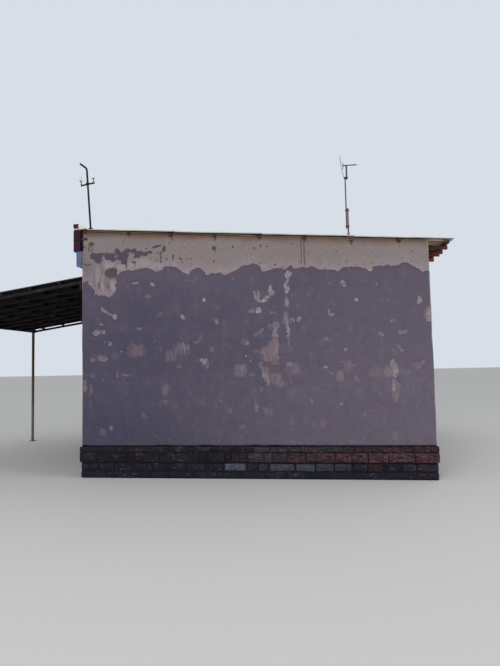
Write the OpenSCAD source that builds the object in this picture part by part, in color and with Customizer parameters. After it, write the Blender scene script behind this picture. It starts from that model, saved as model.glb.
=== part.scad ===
// Adobe house with a corrugated single-slope roof and a lean-to canopy.
// Millimetres. X right, Y into the depth, Z up, ground at Z 0.
// The origin is at ground level in the middle of the front wall's outer face.

/* [House body] */
// outer width of the front wall
wall_w = 5270; // [4600:10:6000]
// depth of the house from front face to back face
house_d = 6000; // [5600:50:8000]
// thickness of the adobe walls
wall_t = 400; // [300:10:500]
// height of the purlin tops at the left wall's outer face
roof_high = 3850; // [3700:2:4100]
// height of the purlin tops at the right wall's outer face
roof_low = 3434; // [3300:2:3600]

/* [Plinth and floor] */
// height of the brick plinth
plinth_h = 498; // [420:2:600]
// height of the ledge where the upper courses step out
ledge_h = 238; // [180:2:280]
// how far the upper courses stand out from the wall
plinth_out = 30; // [16:1:40]
// how far the lower courses stand out from the wall
plinth_low_out = 15; // [5:1:15]
// top of the floor slab
floor_h = 258; // [200:2:300]

/* [Door and windows] */
// distance from the front face to the door opening
door_y = 2000; // [1900:10:2300]
// width of the door opening
door_w = 900; // [800:10:1000]
// height of the door opening above the floor
door_h = 2020; // [1900:10:2150]
// distance from the front face to the first window
window_1_y = 750; // [650:10:850]
// distance from the front face to the second window
window_2_y = 3600; // [3500:10:3900]
// width of a window opening
window_w = 820; // [700:10:900]
// height of the window opening
window_h = 1050; // [900:10:1150]
// height of the window sill above the ground
window_z = 1230; // [1150:10:1300]
// width of the frame timber seen from the front
frame_w = 65; // [50:1:80]
// depth of the frame timber in the wall
frame_d = 90; // [70:1:120]
// setback of the frames from the wall's outer face
frame_in = 60; // [40:1:100]
// thickness of the plank door leaf
leaf_t = 36; // [28:1:45]
// thickness of the window glass
glass_t = 4; // [3:0.5:6]
// depth of the glass groove in the frame
glass_groove = 10; // [6:1:14]
// height of the timber lintels
lintel_h = 80; // [60:2:110]
// bearing of a lintel on each side
lintel_bearing = 180; // [120:10:240]
// gap between the door leaf and its frame
leaf_gap = 3; // [2:0.5:5]

/* [Roof timber] */
// width of a purlin
purlin_w = 62; // [45:1:75]
// height of a purlin
purlin_h = 48; // [40:1:60]
// distance from the left wall face to the first purlin
purlin_first = 761; // [740:1:780]
// spacing of the purlins
purlin_step = 682; // [676:1:688]
// distance of the edge purlin from the left wall face
edge_purlin = 14; // [8:1:20]
// how far the purlin ends stand out of the front and back wall
purlin_out = 27; // [5:1:30]
// width of a rafter
rafter_w = 50; // [40:1:60]
// height of a rafter
rafter_h = 60; // [50:1:80]
// distance from the front face to the first rafter, and from the back face to the last
rafter_1 = 122; // [119:1:150]
// distance from the front face to the second rafter
rafter_2 = 418; // [412:1:440]
// distance from the front face to the third rafter
rafter_3 = 620; // [600:1:700]
// distance from the front face to the fourth rafter
rafter_4 = 1015; // [980:1:1040]
// gap between the last inner rafter and the back wall
rafter_gap = 20; // [10:1:40]
// spacing of the other rafters
rafter_step = 610; // [560:1:640]
// length of the rafter tails past the right wall
tail_out = 305; // [260:1:330]
// height of the wall plates
plate_h = 70; // [50:1:90]
// width of the wall plates
plate_w = 140; // [100:5:180]

/* [Roof sheets] */
// thickness of the corrugated sheets
sheet_t = 7; // [5:0.5:9]
// pitch of the corrugations
wave_pitch = 150; // [130:5:180]
// height of the corrugations without the sheet thickness
wave_h = 33; // [26:1:40]
// clearance between two lapped sheets
lap_clear = 0.5; // [0.3:0.1:1]
// length of the lap between two rows
lap_len = 150; // [120:5:180]
// overhang of the sheets past the left wall
eave_left = 125; // [110:1:140]
// overhang of the sheets past the right wall
eave_right = 358; // [310:1:400]
// overhang of the sheets past the front and back wall
verge_out = 38; // [34:1:60]

/* [Left eave] */
// how far the eave boards stand out from the left wall
fascia_out = 130; // [126:1:150]
// height of the eave board
fascia_h = 340; // [300:2:360]
// thickness of the eave boards
board_t = 24; // [18:1:30]
// height of the cap strip on top of the sheets
cap_h = 84; // [60:1:110]
// width of the cap strip
cap_w = 88; // [60:1:100]
// how far the frieze box stands out from the left wall
frieze_out = 85; // [60:1:95]
// height of the frieze box at its outer side
frieze_h = 236; // [200:2:260]
// extra drop of the frieze box at the wall
frieze_drop = 30; // [10:1:40]

/* [Canopy] */
// distance from the left wall to the middle of the posts
canopy_w = 3112; // [2800:5:3200]
// length of the canopy along the left wall
canopy_d = 4030; // [3800:10:4300]
// drop from the roof's purlin tops to the canopy's purlin tops at the wall
canopy_drop = 747; // [740:1:860]
// fall of the canopy from the wall to the posts
canopy_fall = 448; // [300:4:500]
// distance of the outermost canopy purlin from the posts
canopy_first = 225; // [180:5:280]
// side of the canopy purlins
canopy_purlin = 40; // [35:1:50]
// height of the canopy rafters
canopy_rafter_h = 50; // [45:1:60]
// width of the canopy rafters
canopy_rafter_w = 40; // [30:1:50]
// distance of a post's middle from the canopy's end
canopy_post_in = 65; // [65:1:120]
// spacing of the canopy purlins
canopy_purlin_step = 500; // [480:1:505]
// height of the wall ledger
ledger_h = 120; // [100:5:150]
// thickness of the wall ledger
ledger_t = 50; // [40:1:60]
// width of the outer beam
beam_w = 56; // [50:1:70]
// diameter of the posts
post_d = 60; // [50:1:76]
// side of the post plates
post_plate = 130; // [110:5:160]
// thickness of the post plates
post_plate_t = 8; // [6:1:12]
// overhang of the sheets past the posts
canopy_over = 45; // [40:1:80]
// wave height of the canopy sheets
canopy_wave_h = 30; // [20:1:36]

/* [Masts] */
// diameter of the service mast
mast_d = 30; // [26:1:36]
// distance of the service mast from the left wall face
mast_x = 97; // [96:1:110]
// distance of the service mast from the front face
mast_y = 100; // [95:1:120]
// height of the straight service mast above the roof line
mast_h = 1022; // [900:2:1050]
// radius of the bend at the top of the service mast
bend_r = 70; // [60:5:120]
// straight length past that bend
bend_tail = 110; // [60:5:160]
// how far the top of the service mast is bent over, in degrees
bend_turn = 48; // [30:1:80]
// lean of the service mast to the left
mast_lean = 3.8; // [0:0.1:4]
// length of the crossarm
arm_len = 232; // [200:2:300]
// height of the crossarm above the roof line
arm_h = 804; // [700:2:850]
// height of the insulators above the crossarm
pin_h = 76; // [60:2:90]
// diameter of the antenna pole
aerial_d = 22; // [18:1:26]
// distance of the antenna pole from the left wall face
aerial_x = 4147; // [4144:1:4152]
// distance of the antenna pole from the front face
aerial_y = 92; // [90:1:110]
// distance between the axes of the two clamped antenna poles
aerial_gap = 23; // [21:1:30]
// depth of the pole sockets in the wall top
socket_depth = 260; // [200:5:300]

/* [Hidden] */

xl = -wall_w / 2;
xr = wall_w / 2;
roof_a = atan((roof_high - roof_low) / wall_w);
roof_len = wall_w / cos(roof_a);
row_pitch = 2 * purlin_step / cos(roof_a);
row_tilt = atan((sheet_t + lap_clear) / row_pitch);
row_2_start = (purlin_first + purlin_step) / cos(roof_a) + 50 - lap_len;
sheets_len = roof_len + eave_right / cos(roof_a);
frame_x = xl + frame_in;
canopy_wall_z = roof_high - canopy_drop;
canopy_post_z = canopy_wall_z - canopy_fall;
canopy_a = atan((canopy_wall_z - canopy_post_z) / canopy_w);
canopy_len = canopy_w / cos(canopy_a);
canopy_pitch = canopy_len / 2 - 50;
canopy_tilt = atan((sheet_t + lap_clear) / canopy_pitch);
beam_h = canopy_purlin + canopy_rafter_h;
window_top = window_z + window_h;
door_top = floor_h + door_h;

function roof_z(x) = roof_high - (x - xl) * (roof_high - roof_low) / wall_w;
function wave(y, h) = h / 2 * (1 - cos(360 * y / wave_pitch));

// local frame with x down the slope from the left wall's top edge, z up from the purlin tops
module roof_frame() translate([xl, 0, roof_high]) rotate([0, roof_a, 0]) children();

// local frame with x up the canopy slope from the wall, z up from the purlin tops
module canopy_frame() translate([xl, 0, canopy_wall_z]) rotate([0, -canopy_a, 0]) children();

module corrugated(len, y_a, y_b, h) {
  steps = round((y_b - y_a) / (wave_pitch / 6));
  low = [for (i = [0:steps]) let (y = y_a + (y_b - y_a) * i / steps) [y, wave(y - y_a, h)]];
  top = [for (i = [steps:-1:0]) let (y = y_a + (y_b - y_a) * i / steps)
    [y, wave(y - y_a, h) + sheet_t]];
  multmatrix([[0, 0, 1, 0], [1, 0, 0, 0], [0, 1, 0, 0], [0, 0, 0, 1]])
    linear_extrude(height = len) polygon(concat(low, top));
}

module roof_row(start, stop, level) {
  roof_frame() translate([level, 0, 0]) rotate([0, -row_tilt, 0])
    translate([start - level, 0, 0])
    corrugated(stop - start, -verge_out, house_d + verge_out, wave_h);
}

module plinth_front() color([0.33, 0.24, 0.22]) {
  translate([xl - plinth_low_out, -plinth_low_out, 0])
    cube([wall_w + 2 * plinth_low_out, wall_t + plinth_low_out, ledge_h]);
  translate([xl - plinth_out, -plinth_out, ledge_h])
    cube([wall_w + 2 * plinth_out, wall_t + plinth_out, plinth_h - ledge_h]);
}

module plinth_back() color([0.33, 0.24, 0.22]) {
  translate([xl - plinth_low_out, house_d - wall_t, 0])
    cube([wall_w + 2 * plinth_low_out, wall_t + plinth_low_out, ledge_h]);
  translate([xl - plinth_out, house_d - wall_t, ledge_h])
    cube([wall_w + 2 * plinth_out, wall_t + plinth_out, plinth_h - ledge_h]);
}

module plinth_right() color([0.33, 0.24, 0.22]) {
  translate([xr - wall_t, wall_t, 0])
    cube([wall_t + plinth_low_out, house_d - 2 * wall_t, ledge_h]);
  translate([xr - wall_t, wall_t, ledge_h])
    cube([wall_t + plinth_out, house_d - 2 * wall_t, plinth_h - ledge_h]);
}

module plinth_left_part(y_a, y_b) {
  translate([xl - plinth_low_out, y_a, 0])
    cube([wall_t + plinth_low_out, y_b - y_a, ledge_h]);
  translate([xl - plinth_out, y_a, ledge_h])
    cube([wall_t + plinth_out, y_b - y_a, plinth_h - ledge_h]);
}

module plinth_left_near() color([0.33, 0.24, 0.22]) plinth_left_part(wall_t, door_y);

module plinth_left_far() color([0.33, 0.24, 0.22])
  plinth_left_part(door_y + door_w, house_d - wall_t);

module floor_slab() color([0.5, 0.47, 0.43]) {
  translate([xl + wall_t, wall_t, 0])
    cube([wall_w - 2 * wall_t, house_d - 2 * wall_t, floor_h]);
  translate([xl - plinth_low_out, door_y, 0])
    cube([wall_t + plinth_low_out, door_w, floor_h]);
}

// timber that the walls are notched for
module purlin(s, extra) roof_frame() translate([s, -purlin_out, -purlin_h])
  cube([purlin_w, house_d + 2 * purlin_out, purlin_h + extra]);

module all_purlins(extra) {
  for (i = [0:6]) purlin((purlin_first + i * purlin_step) / cos(roof_a) - purlin_w / 2, extra);
  purlin(edge_purlin, extra);
  purlin(roof_len + tail_out - 8 - purlin_w, extra);
}

module rafter(y) roof_frame()
  translate([-fascia_out + board_t + 8, y, -purlin_h - rafter_h])
    cube([fascia_out - board_t - 8 + roof_len + tail_out, rafter_w, rafter_h]);

module all_rafters() {
  rafter(rafter_1);
  rafter(house_d - rafter_1 - rafter_w);
  rafter(rafter_2);
  rafter(rafter_3);
  rafter(rafter_4);
  for (i = [1:6]) rafter(rafter_4 + i * rafter_step);
  rafter(house_d - wall_t - rafter_w - rafter_gap);
}

module wall_gable(y) {
  translate([0, y + wall_t, 0]) rotate([90, 0, 0]) linear_extrude(height = wall_t)
    polygon([[xl, plinth_h], [xr, plinth_h], [xr, roof_low], [xl, roof_high]]);
}

module mast_axis() translate([xl + mast_x, mast_y, roof_z(xl + mast_x)])
  rotate([0, -mast_lean, 0]) children();

module wall_front() color([0.36, 0.33, 0.36]) difference() {
  wall_gable(0);
  all_purlins(20);
  all_rafters();
  mast_axis() translate([0, 0, -socket_depth])
    cylinder(h = 2 * socket_depth, d = mast_d, $fn = 32);
  aerial_bore(aerial_d);
}

module wall_back() color([0.36, 0.33, 0.36]) difference() {
  wall_gable(house_d - wall_t);
  all_purlins(20);
  all_rafters();
}

// top of a side wall's solid under its plate
function side_top(x) = roof_z(x) - (purlin_h + rafter_h) / cos(roof_a) - plate_h;

module wall_right() color([0.36, 0.33, 0.36]) difference() {
  translate([0, house_d - wall_t, 0]) rotate([90, 0, 0])
    linear_extrude(height = house_d - 2 * wall_t)
    polygon([[xr - wall_t, plinth_h], [xr, plinth_h], [xr, roof_low],
      [xr - wall_t, roof_z(xr - wall_t)]]);
  plate_right();
  all_rafters();
  all_purlins(20);
}

module opening(y, w, z_a, z_b) {
  translate([xl - 50, y, z_a]) cube([wall_t + 100, w, z_b - z_a]);
}

module wall_left() color([0.36, 0.33, 0.36]) difference() {
  translate([0, house_d - wall_t, 0]) rotate([90, 0, 0])
    linear_extrude(height = house_d - 2 * wall_t)
    polygon([[xl, plinth_h], [xl + wall_t, plinth_h],
      [xl + wall_t, roof_z(xl + wall_t)], [xl, roof_high]]);
  opening(door_y, door_w, 0, door_top);
  opening(window_1_y, window_w, window_z, window_top);
  opening(window_2_y, window_w, window_z, window_top);
  lintels();
  plate_left();
  all_rafters();
  all_purlins(20);
}

module lintel(y, w, z) translate([xl + 20, y - lintel_bearing, z])
  cube([wall_t - 40, w + 2 * lintel_bearing, lintel_h]);

module lintels() color([0.36, 0.25, 0.16]) {
  lintel(door_y, door_w, door_top);
  lintel(window_1_y, window_w, window_top);
  lintel(window_2_y, window_w, window_top);
}

module door_frame() color([0.3, 0.36, 0.42]) difference() {
  translate([frame_x, door_y, floor_h]) cube([frame_d, door_w, door_h]);
  translate([frame_x - 1, door_y + frame_w, floor_h - 1])
    cube([frame_d + 2, door_w - 2 * frame_w, door_h - frame_w + 1]);
  translate([frame_x + frame_d - leaf_t, door_y + frame_w - 14, floor_h - 1])
    cube([leaf_t + 1, door_w - 2 * frame_w + 28, door_h - frame_w + 15]);
}

module door_leaf() color([0.34, 0.4, 0.46])
  translate([frame_x + frame_d - leaf_t, door_y + frame_w - 14 + leaf_gap,
    floor_h + leaf_gap])
    cube([leaf_t, door_w - 2 * frame_w + 28 - 2 * leaf_gap,
      door_h - frame_w + 14 - 2 * leaf_gap]);

module window_glass(y) color([0.5, 0.6, 0.65])
  translate([frame_x + frame_d / 2 - glass_t / 2, y + frame_w - glass_groove,
    window_z + frame_w - glass_groove])
    cube([glass_t, window_w - 2 * (frame_w - glass_groove),
      window_h - 2 * (frame_w - glass_groove)]);

module window_frame(y) color([0.3, 0.36, 0.42]) difference() {
  translate([frame_x, y, window_z]) cube([frame_d, window_w, window_h]);
  translate([frame_x - 1, y + frame_w, window_z + frame_w])
    cube([frame_d + 2, window_w - 2 * frame_w, window_h - 2 * frame_w]);
  window_glass(y);
}

module window_sill(y) translate([xl - 45, y + 2, window_z])
  cube([frame_in + 45, window_w - 4, 22]);

module window_sills() color([0.55, 0.52, 0.48]) {
  window_sill(window_1_y);
  window_sill(window_2_y);
}

module plate_at(x) {
  translate([x, wall_t, roof_z(x + plate_w) - (purlin_h + rafter_h) / cos(roof_a) - plate_h])
    cube([plate_w, house_d - 2 * wall_t, plate_h]);
}

module plate_left() color([0.4, 0.28, 0.18]) plate_at(xl + 60);

module plate_right() color([0.4, 0.28, 0.18]) plate_at(xr - 60 - plate_w);

module rafters() color([0.42, 0.29, 0.18]) all_rafters();

module purlins() color([0.45, 0.31, 0.2]) difference() {
  all_purlins(0);
  aerial_bore(aerial_d);
}

module roof_row_1() color([0.6, 0.6, 0.58]) difference() {
  roof_row(-eave_left, row_2_start + lap_len, row_2_start - row_pitch);
  mast_axis() translate([0, 0, -100]) cylinder(h = 400, d = mast_d + 2, $fn = 24);
}

module roof_row_2() color([0.58, 0.58, 0.57])
  roof_row(row_2_start, row_2_start + row_pitch + lap_len, row_2_start);

module roof_row_3() color([0.6, 0.6, 0.58]) difference() {
  roof_row(row_2_start + row_pitch, row_2_start + 2 * row_pitch + lap_len,
    row_2_start + row_pitch);
  aerial_bore(aerial_d + 2);
}

module roof_row_4() color([0.58, 0.58, 0.57]) difference() {
  roof_row(row_2_start + 2 * row_pitch, sheets_len, row_2_start + 2 * row_pitch);
  aerial_bore(aerial_d + 2);
}

module eave_fascia() color([0.35, 0.16, 0.15])
  translate([xl - fascia_out, -verge_out, fascia_bottom()])
    cube([board_t, house_d + 2 * verge_out, fascia_h]);

function fascia_bottom() = roof_high - fascia_h + 2;

module eave_soffit() color([0.33, 0.16, 0.15])
  translate([xl - fascia_out + board_t, -verge_out + board_t, fascia_bottom()])
    cube([fascia_out - board_t, house_d + 2 * verge_out - 2 * board_t, board_t]);

module eave_end_boards() color([0.36, 0.17, 0.15]) {
  for (y = [-verge_out, house_d + verge_out - board_t])
    translate([xl - fascia_out + board_t, y, fascia_bottom()])
      cube([fascia_out - board_t - 18, board_t, fascia_h - 4]);
}

module eave_cap() color([0.38, 0.17, 0.16])
  translate([xl - fascia_out - 4, -verge_out - 2,
    roof_z(xl - eave_left) + sheet_t + wave_h - 0.5])
    cube([cap_w, house_d + 2 * verge_out + 4, cap_h - 30]);

module frieze() color([0.5, 0.55, 0.62])
  translate([0, house_d + verge_out - 8, 0]) rotate([90, 0, 0])
    linear_extrude(height = house_d + 2 * verge_out - 16)
    polygon([[xl - frieze_out, fascia_bottom()], [xl - frieze_out, fascia_bottom() - frieze_h],
      [xl, fascia_bottom() - frieze_h - frieze_drop], [xl, fascia_bottom()]]);

module canopy_ledger() color([0.24, 0.19, 0.16])
  translate([xl - ledger_t, 0, canopy_wall_z - canopy_purlin - 12 - ledger_h])
    cube([ledger_t, canopy_d, ledger_h]);

module canopy_rafters() color([0.25, 0.2, 0.17]) difference() {
  canopy_frame() for (i = [0:9]) translate([-canopy_len + beam_w / 2,
    20 + i * (canopy_d - 40 - canopy_rafter_w) / 9 + 0, -beam_h])
    cube([canopy_len - beam_w / 2 + 100, canopy_rafter_w, canopy_rafter_h]);
  translate([xl - ledger_t, -canopy_d, canopy_post_z - wall_t])
    cube([wall_t, 3 * canopy_d, canopy_drop + canopy_fall]);
}

module canopy_beam() color([0.23, 0.19, 0.17]) canopy_frame()
  translate([-canopy_len - beam_w / 2, 0, -beam_h]) cube([beam_w, canopy_d, beam_h]);

module canopy_purlins() color([0.27, 0.21, 0.17]) canopy_frame() {
  for (i = [0:5]) translate([canopy_first - canopy_len + i * canopy_purlin_step, 0, -canopy_purlin])
    cube([canopy_purlin, canopy_d, canopy_purlin]);
}

module canopy_row(start, stop, level) difference() {
  canopy_frame() translate([-level, 0, 0]) rotate([0, canopy_tilt, 0])
    translate([level - stop, 0, 0])
    corrugated(stop - start, 0, canopy_d, canopy_wave_h);
  translate([xl, -canopy_d, canopy_post_z])
    cube([wall_t, 3 * canopy_d, canopy_drop + canopy_fall]);
}

module canopy_row_1() color([0.42, 0.42, 0.42])
  canopy_row(-30, canopy_pitch + 90, 0);

module canopy_row_2() color([0.44, 0.43, 0.42])
  canopy_row(canopy_pitch - 60, canopy_len + canopy_over, canopy_pitch - 60);

module canopy_post(y) {
  beam_low = canopy_post_z - beam_h / cos(canopy_a) - 4.6;
  translate([xl - canopy_w, y, 0]) {
    cylinder(h = beam_low, d = post_d, $fn = 36);
    translate([-post_plate / 2, -post_plate / 2, 0]) cube([post_plate, post_plate, post_plate_t]);
  }
  translate([xl - canopy_w, y, canopy_post_z]) rotate([0, -canopy_a, 0])
    translate([-40, -40, -beam_h - post_plate_t]) cube([80, 80, post_plate_t]);
}

module canopy_post_near() color([0.4, 0.28, 0.22]) canopy_post(canopy_post_in);

module canopy_post_far() color([0.4, 0.28, 0.22]) canopy_post(canopy_d - canopy_post_in);

module service_mast() color([0.35, 0.28, 0.24]) mast_axis() {
  translate([0, 0, -socket_depth]) cylinder(h = socket_depth + mast_h, d = mast_d, $fn = 32);
  translate([0, 0, wave_h + sheet_t + 4]) cylinder(h = 30, d = mast_d + 34, $fn = 32);
}

module service_bend() color([0.35, 0.28, 0.24]) mast_axis() {
  for (i = [0:4]) hull() {
    bend_disc(i * bend_turn / 5, 0);
    bend_disc((i + 1) * bend_turn / 5, 0);
  }
  hull() {
    bend_disc(bend_turn, 0);
    bend_disc(bend_turn, bend_tail);
  }
}

module bend_disc(turn, past) translate([-bend_r, 0, mast_h]) rotate([0, -turn, 0])
  translate([bend_r, 0, past]) cylinder(h = 0.5, d = mast_d, $fn = 20);

module arm_frame() mast_axis() translate([-13, mast_d / 2, arm_h]) rotate([0, -4.6, 0]) children();

module service_crossarm() color([0.33, 0.27, 0.24]) arm_frame() {
  translate([-arm_len / 2, 0, -10]) cube([arm_len, 22, 20]);
  for (x = [-arm_len / 2 + 10, arm_len / 2 - 10]) translate([x, 11, 0])
    cylinder(h = pin_h + 30, d = 14, $fn = 20);
}

module service_clamp() color([0.33, 0.27, 0.24]) mast_axis()
  translate([0, 0, arm_h]) difference() {
    translate([-mast_d / 2 - 7, -mast_d / 2 - 6, -13]) cube([mast_d + 14, mast_d + 6, 26]);
    translate([0, 0, -20]) cylinder(h = 40, d = mast_d, $fn = 32);
    translate([-mast_d, mast_d / 2 - 2, -20]) cube([2 * mast_d, 20, 40]);
  }

module disc(z, r) translate([0, 0, z]) cylinder(h = 0.5, r = r, $fn = 20);

module insulator(x) color([0.86, 0.85, 0.82]) arm_frame() translate([x, 11, pin_h])
  difference() {
    union() {
      hull() {
        disc(0, 24);
        disc(14, 26);
        disc(34, 16);
      }
      hull() {
        disc(30, 15);
        disc(60, 15);
      }
      hull() {
        disc(58, 18);
        disc(70, 18);
        disc(82, 11);
      }
    }
    translate([0, 0, -1]) cylinder(h = 31, d = 14, $fn = 20);
  }

module insulator_left() insulator(-arm_len / 2 + 10);

module insulator_right() insulator(arm_len / 2 - 10);

module aerial_axis(dx, dz) translate([xl + aerial_x + dx, aerial_y, roof_z(xl + aerial_x) + dz])
  children();

module aerial_bore(d) translate([xl + aerial_x, aerial_y, roof_low - socket_depth])
  cylinder(h = 2 * socket_depth + roof_high - roof_low, d = d, $fn = 24);

module aerial_pole() color([0.4, 0.38, 0.37])
  translate([xl + aerial_x, aerial_y, roof_low - socket_depth])
    cylinder(h = socket_depth + roof_z(xl + aerial_x) - roof_low + 468, d = aerial_d, $fn = 24);

module aerial_upper() color([0.5, 0.5, 0.5]) aerial_axis(-aerial_gap, 160)
  cylinder(h = 790, d = 18, $fn = 24);

module aerial_clamps() color([0.4, 0.36, 0.34]) {
  for (z = [180, 424]) aerial_axis(0, z) difference() {
    translate([-aerial_gap - 15, -aerial_d / 2 - 5, 0])
      cube([aerial_gap + 15 + aerial_d / 2 + 6, aerial_d + 10, 26]);
    translate([0, 0, -1]) cylinder(h = 40, d = aerial_d, $fn = 24);
    translate([-aerial_gap, 0, -1]) cylinder(h = 40, d = 18, $fn = 24);
  }
  aerial_axis(-aerial_gap, 920) difference() {
    translate([-14, -17, 0]) cube([aerial_gap + 30, 34, 24]);
    translate([0, 0, -1]) cylinder(h = 40, d = 18, $fn = 24);
    translate([aerial_gap, 0, -1]) cylinder(h = 40, d = 24, $fn = 24);
  }
}

module aerial_tube() color([0.5, 0.5, 0.5]) aerial_axis(0, 914) cylinder(h = 204, d = 24, $fn = 24);

module aerial_boom() color([0.6, 0.6, 0.6]) difference() {
  aerial_axis(-aerial_gap - 36, 1126) rotate([0, 90, 0]) cylinder(h = 214, d = 16, $fn = 20);
  aerial_bar();
}

module aerial_bar() color([0.62, 0.62, 0.62]) aerial_axis(-aerial_gap - 26, 1072)
  cylinder(h = 100, d = 10, $fn = 16);

module aerial_rod() color([0.55, 0.53, 0.5]) aerial_axis(-aerial_gap - 15, 932) {
  hull() {
    cylinder(h = 1, d = 7, $fn = 12);
    translate([-34, 0, 142]) cylinder(h = 1, d = 7, $fn = 12);
  }
  hull() {
    translate([-34, 0, 141]) cylinder(h = 1, d = 7, $fn = 12);
    translate([-52, 0, 356]) cylinder(h = 1, d = 7, $fn = 12);
  }
}

module aerial_lashing() color([0.62, 0.45, 0.43]) {
  difference() {
    aerial_axis(0, wave_h + sheet_t + 14) translate([-20, -20, 0]) cube([40, 40, 40]);
    aerial_bore(aerial_d);
  }
  roof_frame() translate([(purlin_first + 5 * purlin_step) / cos(roof_a) - 74, -purlin_out - 20,
    -purlin_h + 2]) cube([140, 20, purlin_h - 6]);
}

plinth_front();
plinth_right();
plinth_back();
plinth_left_near();
plinth_left_far();
floor_slab();  // floor
wall_front();
wall_right();
wall_back();
wall_left();
lintels();
door_frame();
door_leaf();
window_frame(window_1_y);  // window_frame_1
window_frame(window_2_y);  // window_frame_2
window_glass(window_1_y);  // window_glass_1
window_glass(window_2_y);  // window_glass_2
window_sills();
plate_left();
plate_right();
rafters();
purlins();
roof_row_1();
roof_row_2();
roof_row_3();
roof_row_4();
eave_fascia();
eave_soffit();
eave_end_boards();
eave_cap();
frieze();
canopy_ledger();
canopy_rafters();
canopy_beam();
canopy_purlins();
canopy_row_1();
canopy_row_2();
canopy_post_near();
canopy_post_far();
service_mast();
service_bend();
service_crossarm();
service_clamp();
insulator_left();
insulator_right();
aerial_pole();
aerial_upper();
aerial_clamps();
aerial_tube();
aerial_boom();
aerial_bar();
aerial_rod();
aerial_lashing();
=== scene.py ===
import math

import bpy
import mathutils
import numpy as np
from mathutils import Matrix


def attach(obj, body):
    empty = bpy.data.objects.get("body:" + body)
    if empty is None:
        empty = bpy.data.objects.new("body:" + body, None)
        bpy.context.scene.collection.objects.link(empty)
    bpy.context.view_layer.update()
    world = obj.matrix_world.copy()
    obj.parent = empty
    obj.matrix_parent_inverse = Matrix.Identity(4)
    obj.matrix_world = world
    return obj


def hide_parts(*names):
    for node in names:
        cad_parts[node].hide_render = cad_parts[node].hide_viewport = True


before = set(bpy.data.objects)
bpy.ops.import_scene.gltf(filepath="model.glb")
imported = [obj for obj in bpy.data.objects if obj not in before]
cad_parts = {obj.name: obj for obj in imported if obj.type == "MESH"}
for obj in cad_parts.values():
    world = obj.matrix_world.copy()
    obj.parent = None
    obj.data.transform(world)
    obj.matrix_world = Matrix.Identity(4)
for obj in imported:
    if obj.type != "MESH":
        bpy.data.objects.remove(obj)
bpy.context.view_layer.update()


# Plinth: two courses of fired brick laid on edge over two lower courses of field stones and
# bricks, bedded in dark mud mortar. The upper courses stand out over the lower ones as a drip.
LEFT, RIGHT, DEPTH = -2.635, 2.635, 6.0
PLINTH_TOP, LEDGE = 0.498, 0.238
UPPER_OUT, LOWER_OUT = 0.030, 0.015
DOOR_NEAR, DOOR_FAR = 2.0, 2.9
WALL_THICK = 0.4
SIDES = (("front", RIGHT - LEFT), ("right", DEPTH), ("back", RIGHT - LEFT), ("left", DEPTH))


def tint(red, green, blue):
    """A colour as seen on a screen, 0 to 255, turned into the linear light a shader takes."""
    return tuple((np.array([red, green, blue]) / 255.0) ** 2.2) + (1.0,)


class Look:
    """A material put together step by step. Where a step takes a mask, that is a number, an
    output, the name of what the mesh carries, or a tuple of the values that `band` takes. A
    colour is an output, or red, green and blue from 0 to 255."""

    def __init__(self, name, rough=0.9, metal=0.0, specular=0.25):
        """Starts from the plain shader that a new material holds."""
        self.stuff = bpy.data.materials.new(name)
        self.stuff.use_nodes = True
        self.tree = self.stuff.node_tree
        self.shader = self.tree.nodes["Principled BSDF"]
        self.shader.inputs["Roughness"].default_value = rough
        self.shader.inputs["Metallic"].default_value = metal
        self.shader.inputs["Specular IOR Level"].default_value = specular

    def add(self, kind, inputs=(), out=0, **settings):
        """Adds a node with its settings, and gives each input its value or links an output."""
        made = self.tree.nodes.new(kind)
        for key, value in settings.items():
            setattr(made, key, value)
        for key, value in dict(inputs).items():
            if isinstance(value, bpy.types.NodeSocket):
                self.tree.links.new(value, made.inputs[key])
            else:
                made.inputs[key].default_value = value
        return made.outputs[out]

    def mask(self, source):
        """The output or number that stands for a mask."""
        if isinstance(source, str):
            return self.add("ShaderNodeAttribute", out="Fac", attribute_name=source)
        return self.band(*source) if isinstance(source, tuple) else source

    def grain(self, size, detail=4.0, stretch=(1, 1, 1), rough=0.55):
        """Noise over the piece's own coordinates; `size` is the width of a grain in metres."""
        place = self.add("ShaderNodeTexCoord", out="Object")
        place = self.add("ShaderNodeMapping", {"Vector": place, "Scale": stretch})
        return self.add("ShaderNodeTexNoise", {"Vector": place, "Scale": 1.0 / size, "Detail": detail,
                                               "Roughness": rough}, "Fac")

    def band(self, source, start, stop, low=0.0, high=1.0):
        """The mask between start and stop drawn out to run from low to high, and held beyond."""
        limits = {"From Min": start, "From Max": stop, "To Min": low, "To Max": high}
        return self.add("ShaderNodeMapRange", {"Value": self.mask(source), **limits}, "Result",
                        interpolation_type="SMOOTHSTEP")

    def step(self, how, first, second):
        """One arithmetic step between two masks."""
        return self.add("ShaderNodeMath", {0: self.mask(first), 1: self.mask(second)}, operation=how)

    def times(self, first, second):
        """The product of two masks."""
        return self.step("MULTIPLY", first, second)

    def plus(self, first, second):
        """The sum of two masks."""
        return self.step("ADD", first, second)

    def mix(self, share, first, second):
        """Two colours mixed by a mask."""
        first, second = (tint(*c) if isinstance(c, tuple) else c for c in (first, second))
        return self.add("ShaderNodeMix", {0: self.mask(share), 6: first, 7: second}, 2, data_type="RGBA")

    def over(self, colour, *layers):
        """The colour with other colours laid over it in turn, each by its mask."""
        for share, top in layers:
            colour = self.mix(share, colour, top)
        return colour

    def coat(self, colour, height=None, relief=0.002, strength=0.6):
        """Puts the colour on the shader, and the height as its bumps."""
        self.tree.links.new(colour, self.shader.inputs["Base Color"])
        if height is not None:
            self.emboss(height, relief, strength)

    def emboss(self, height, relief, strength):
        """Puts the height on the shader as bumps `relief` metres deep."""
        bump = self.add("ShaderNodeBump", {"Height": height, "Strength": strength, "Distance": relief})
        self.tree.links.new(bump, self.shader.inputs["Normal"])


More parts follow.
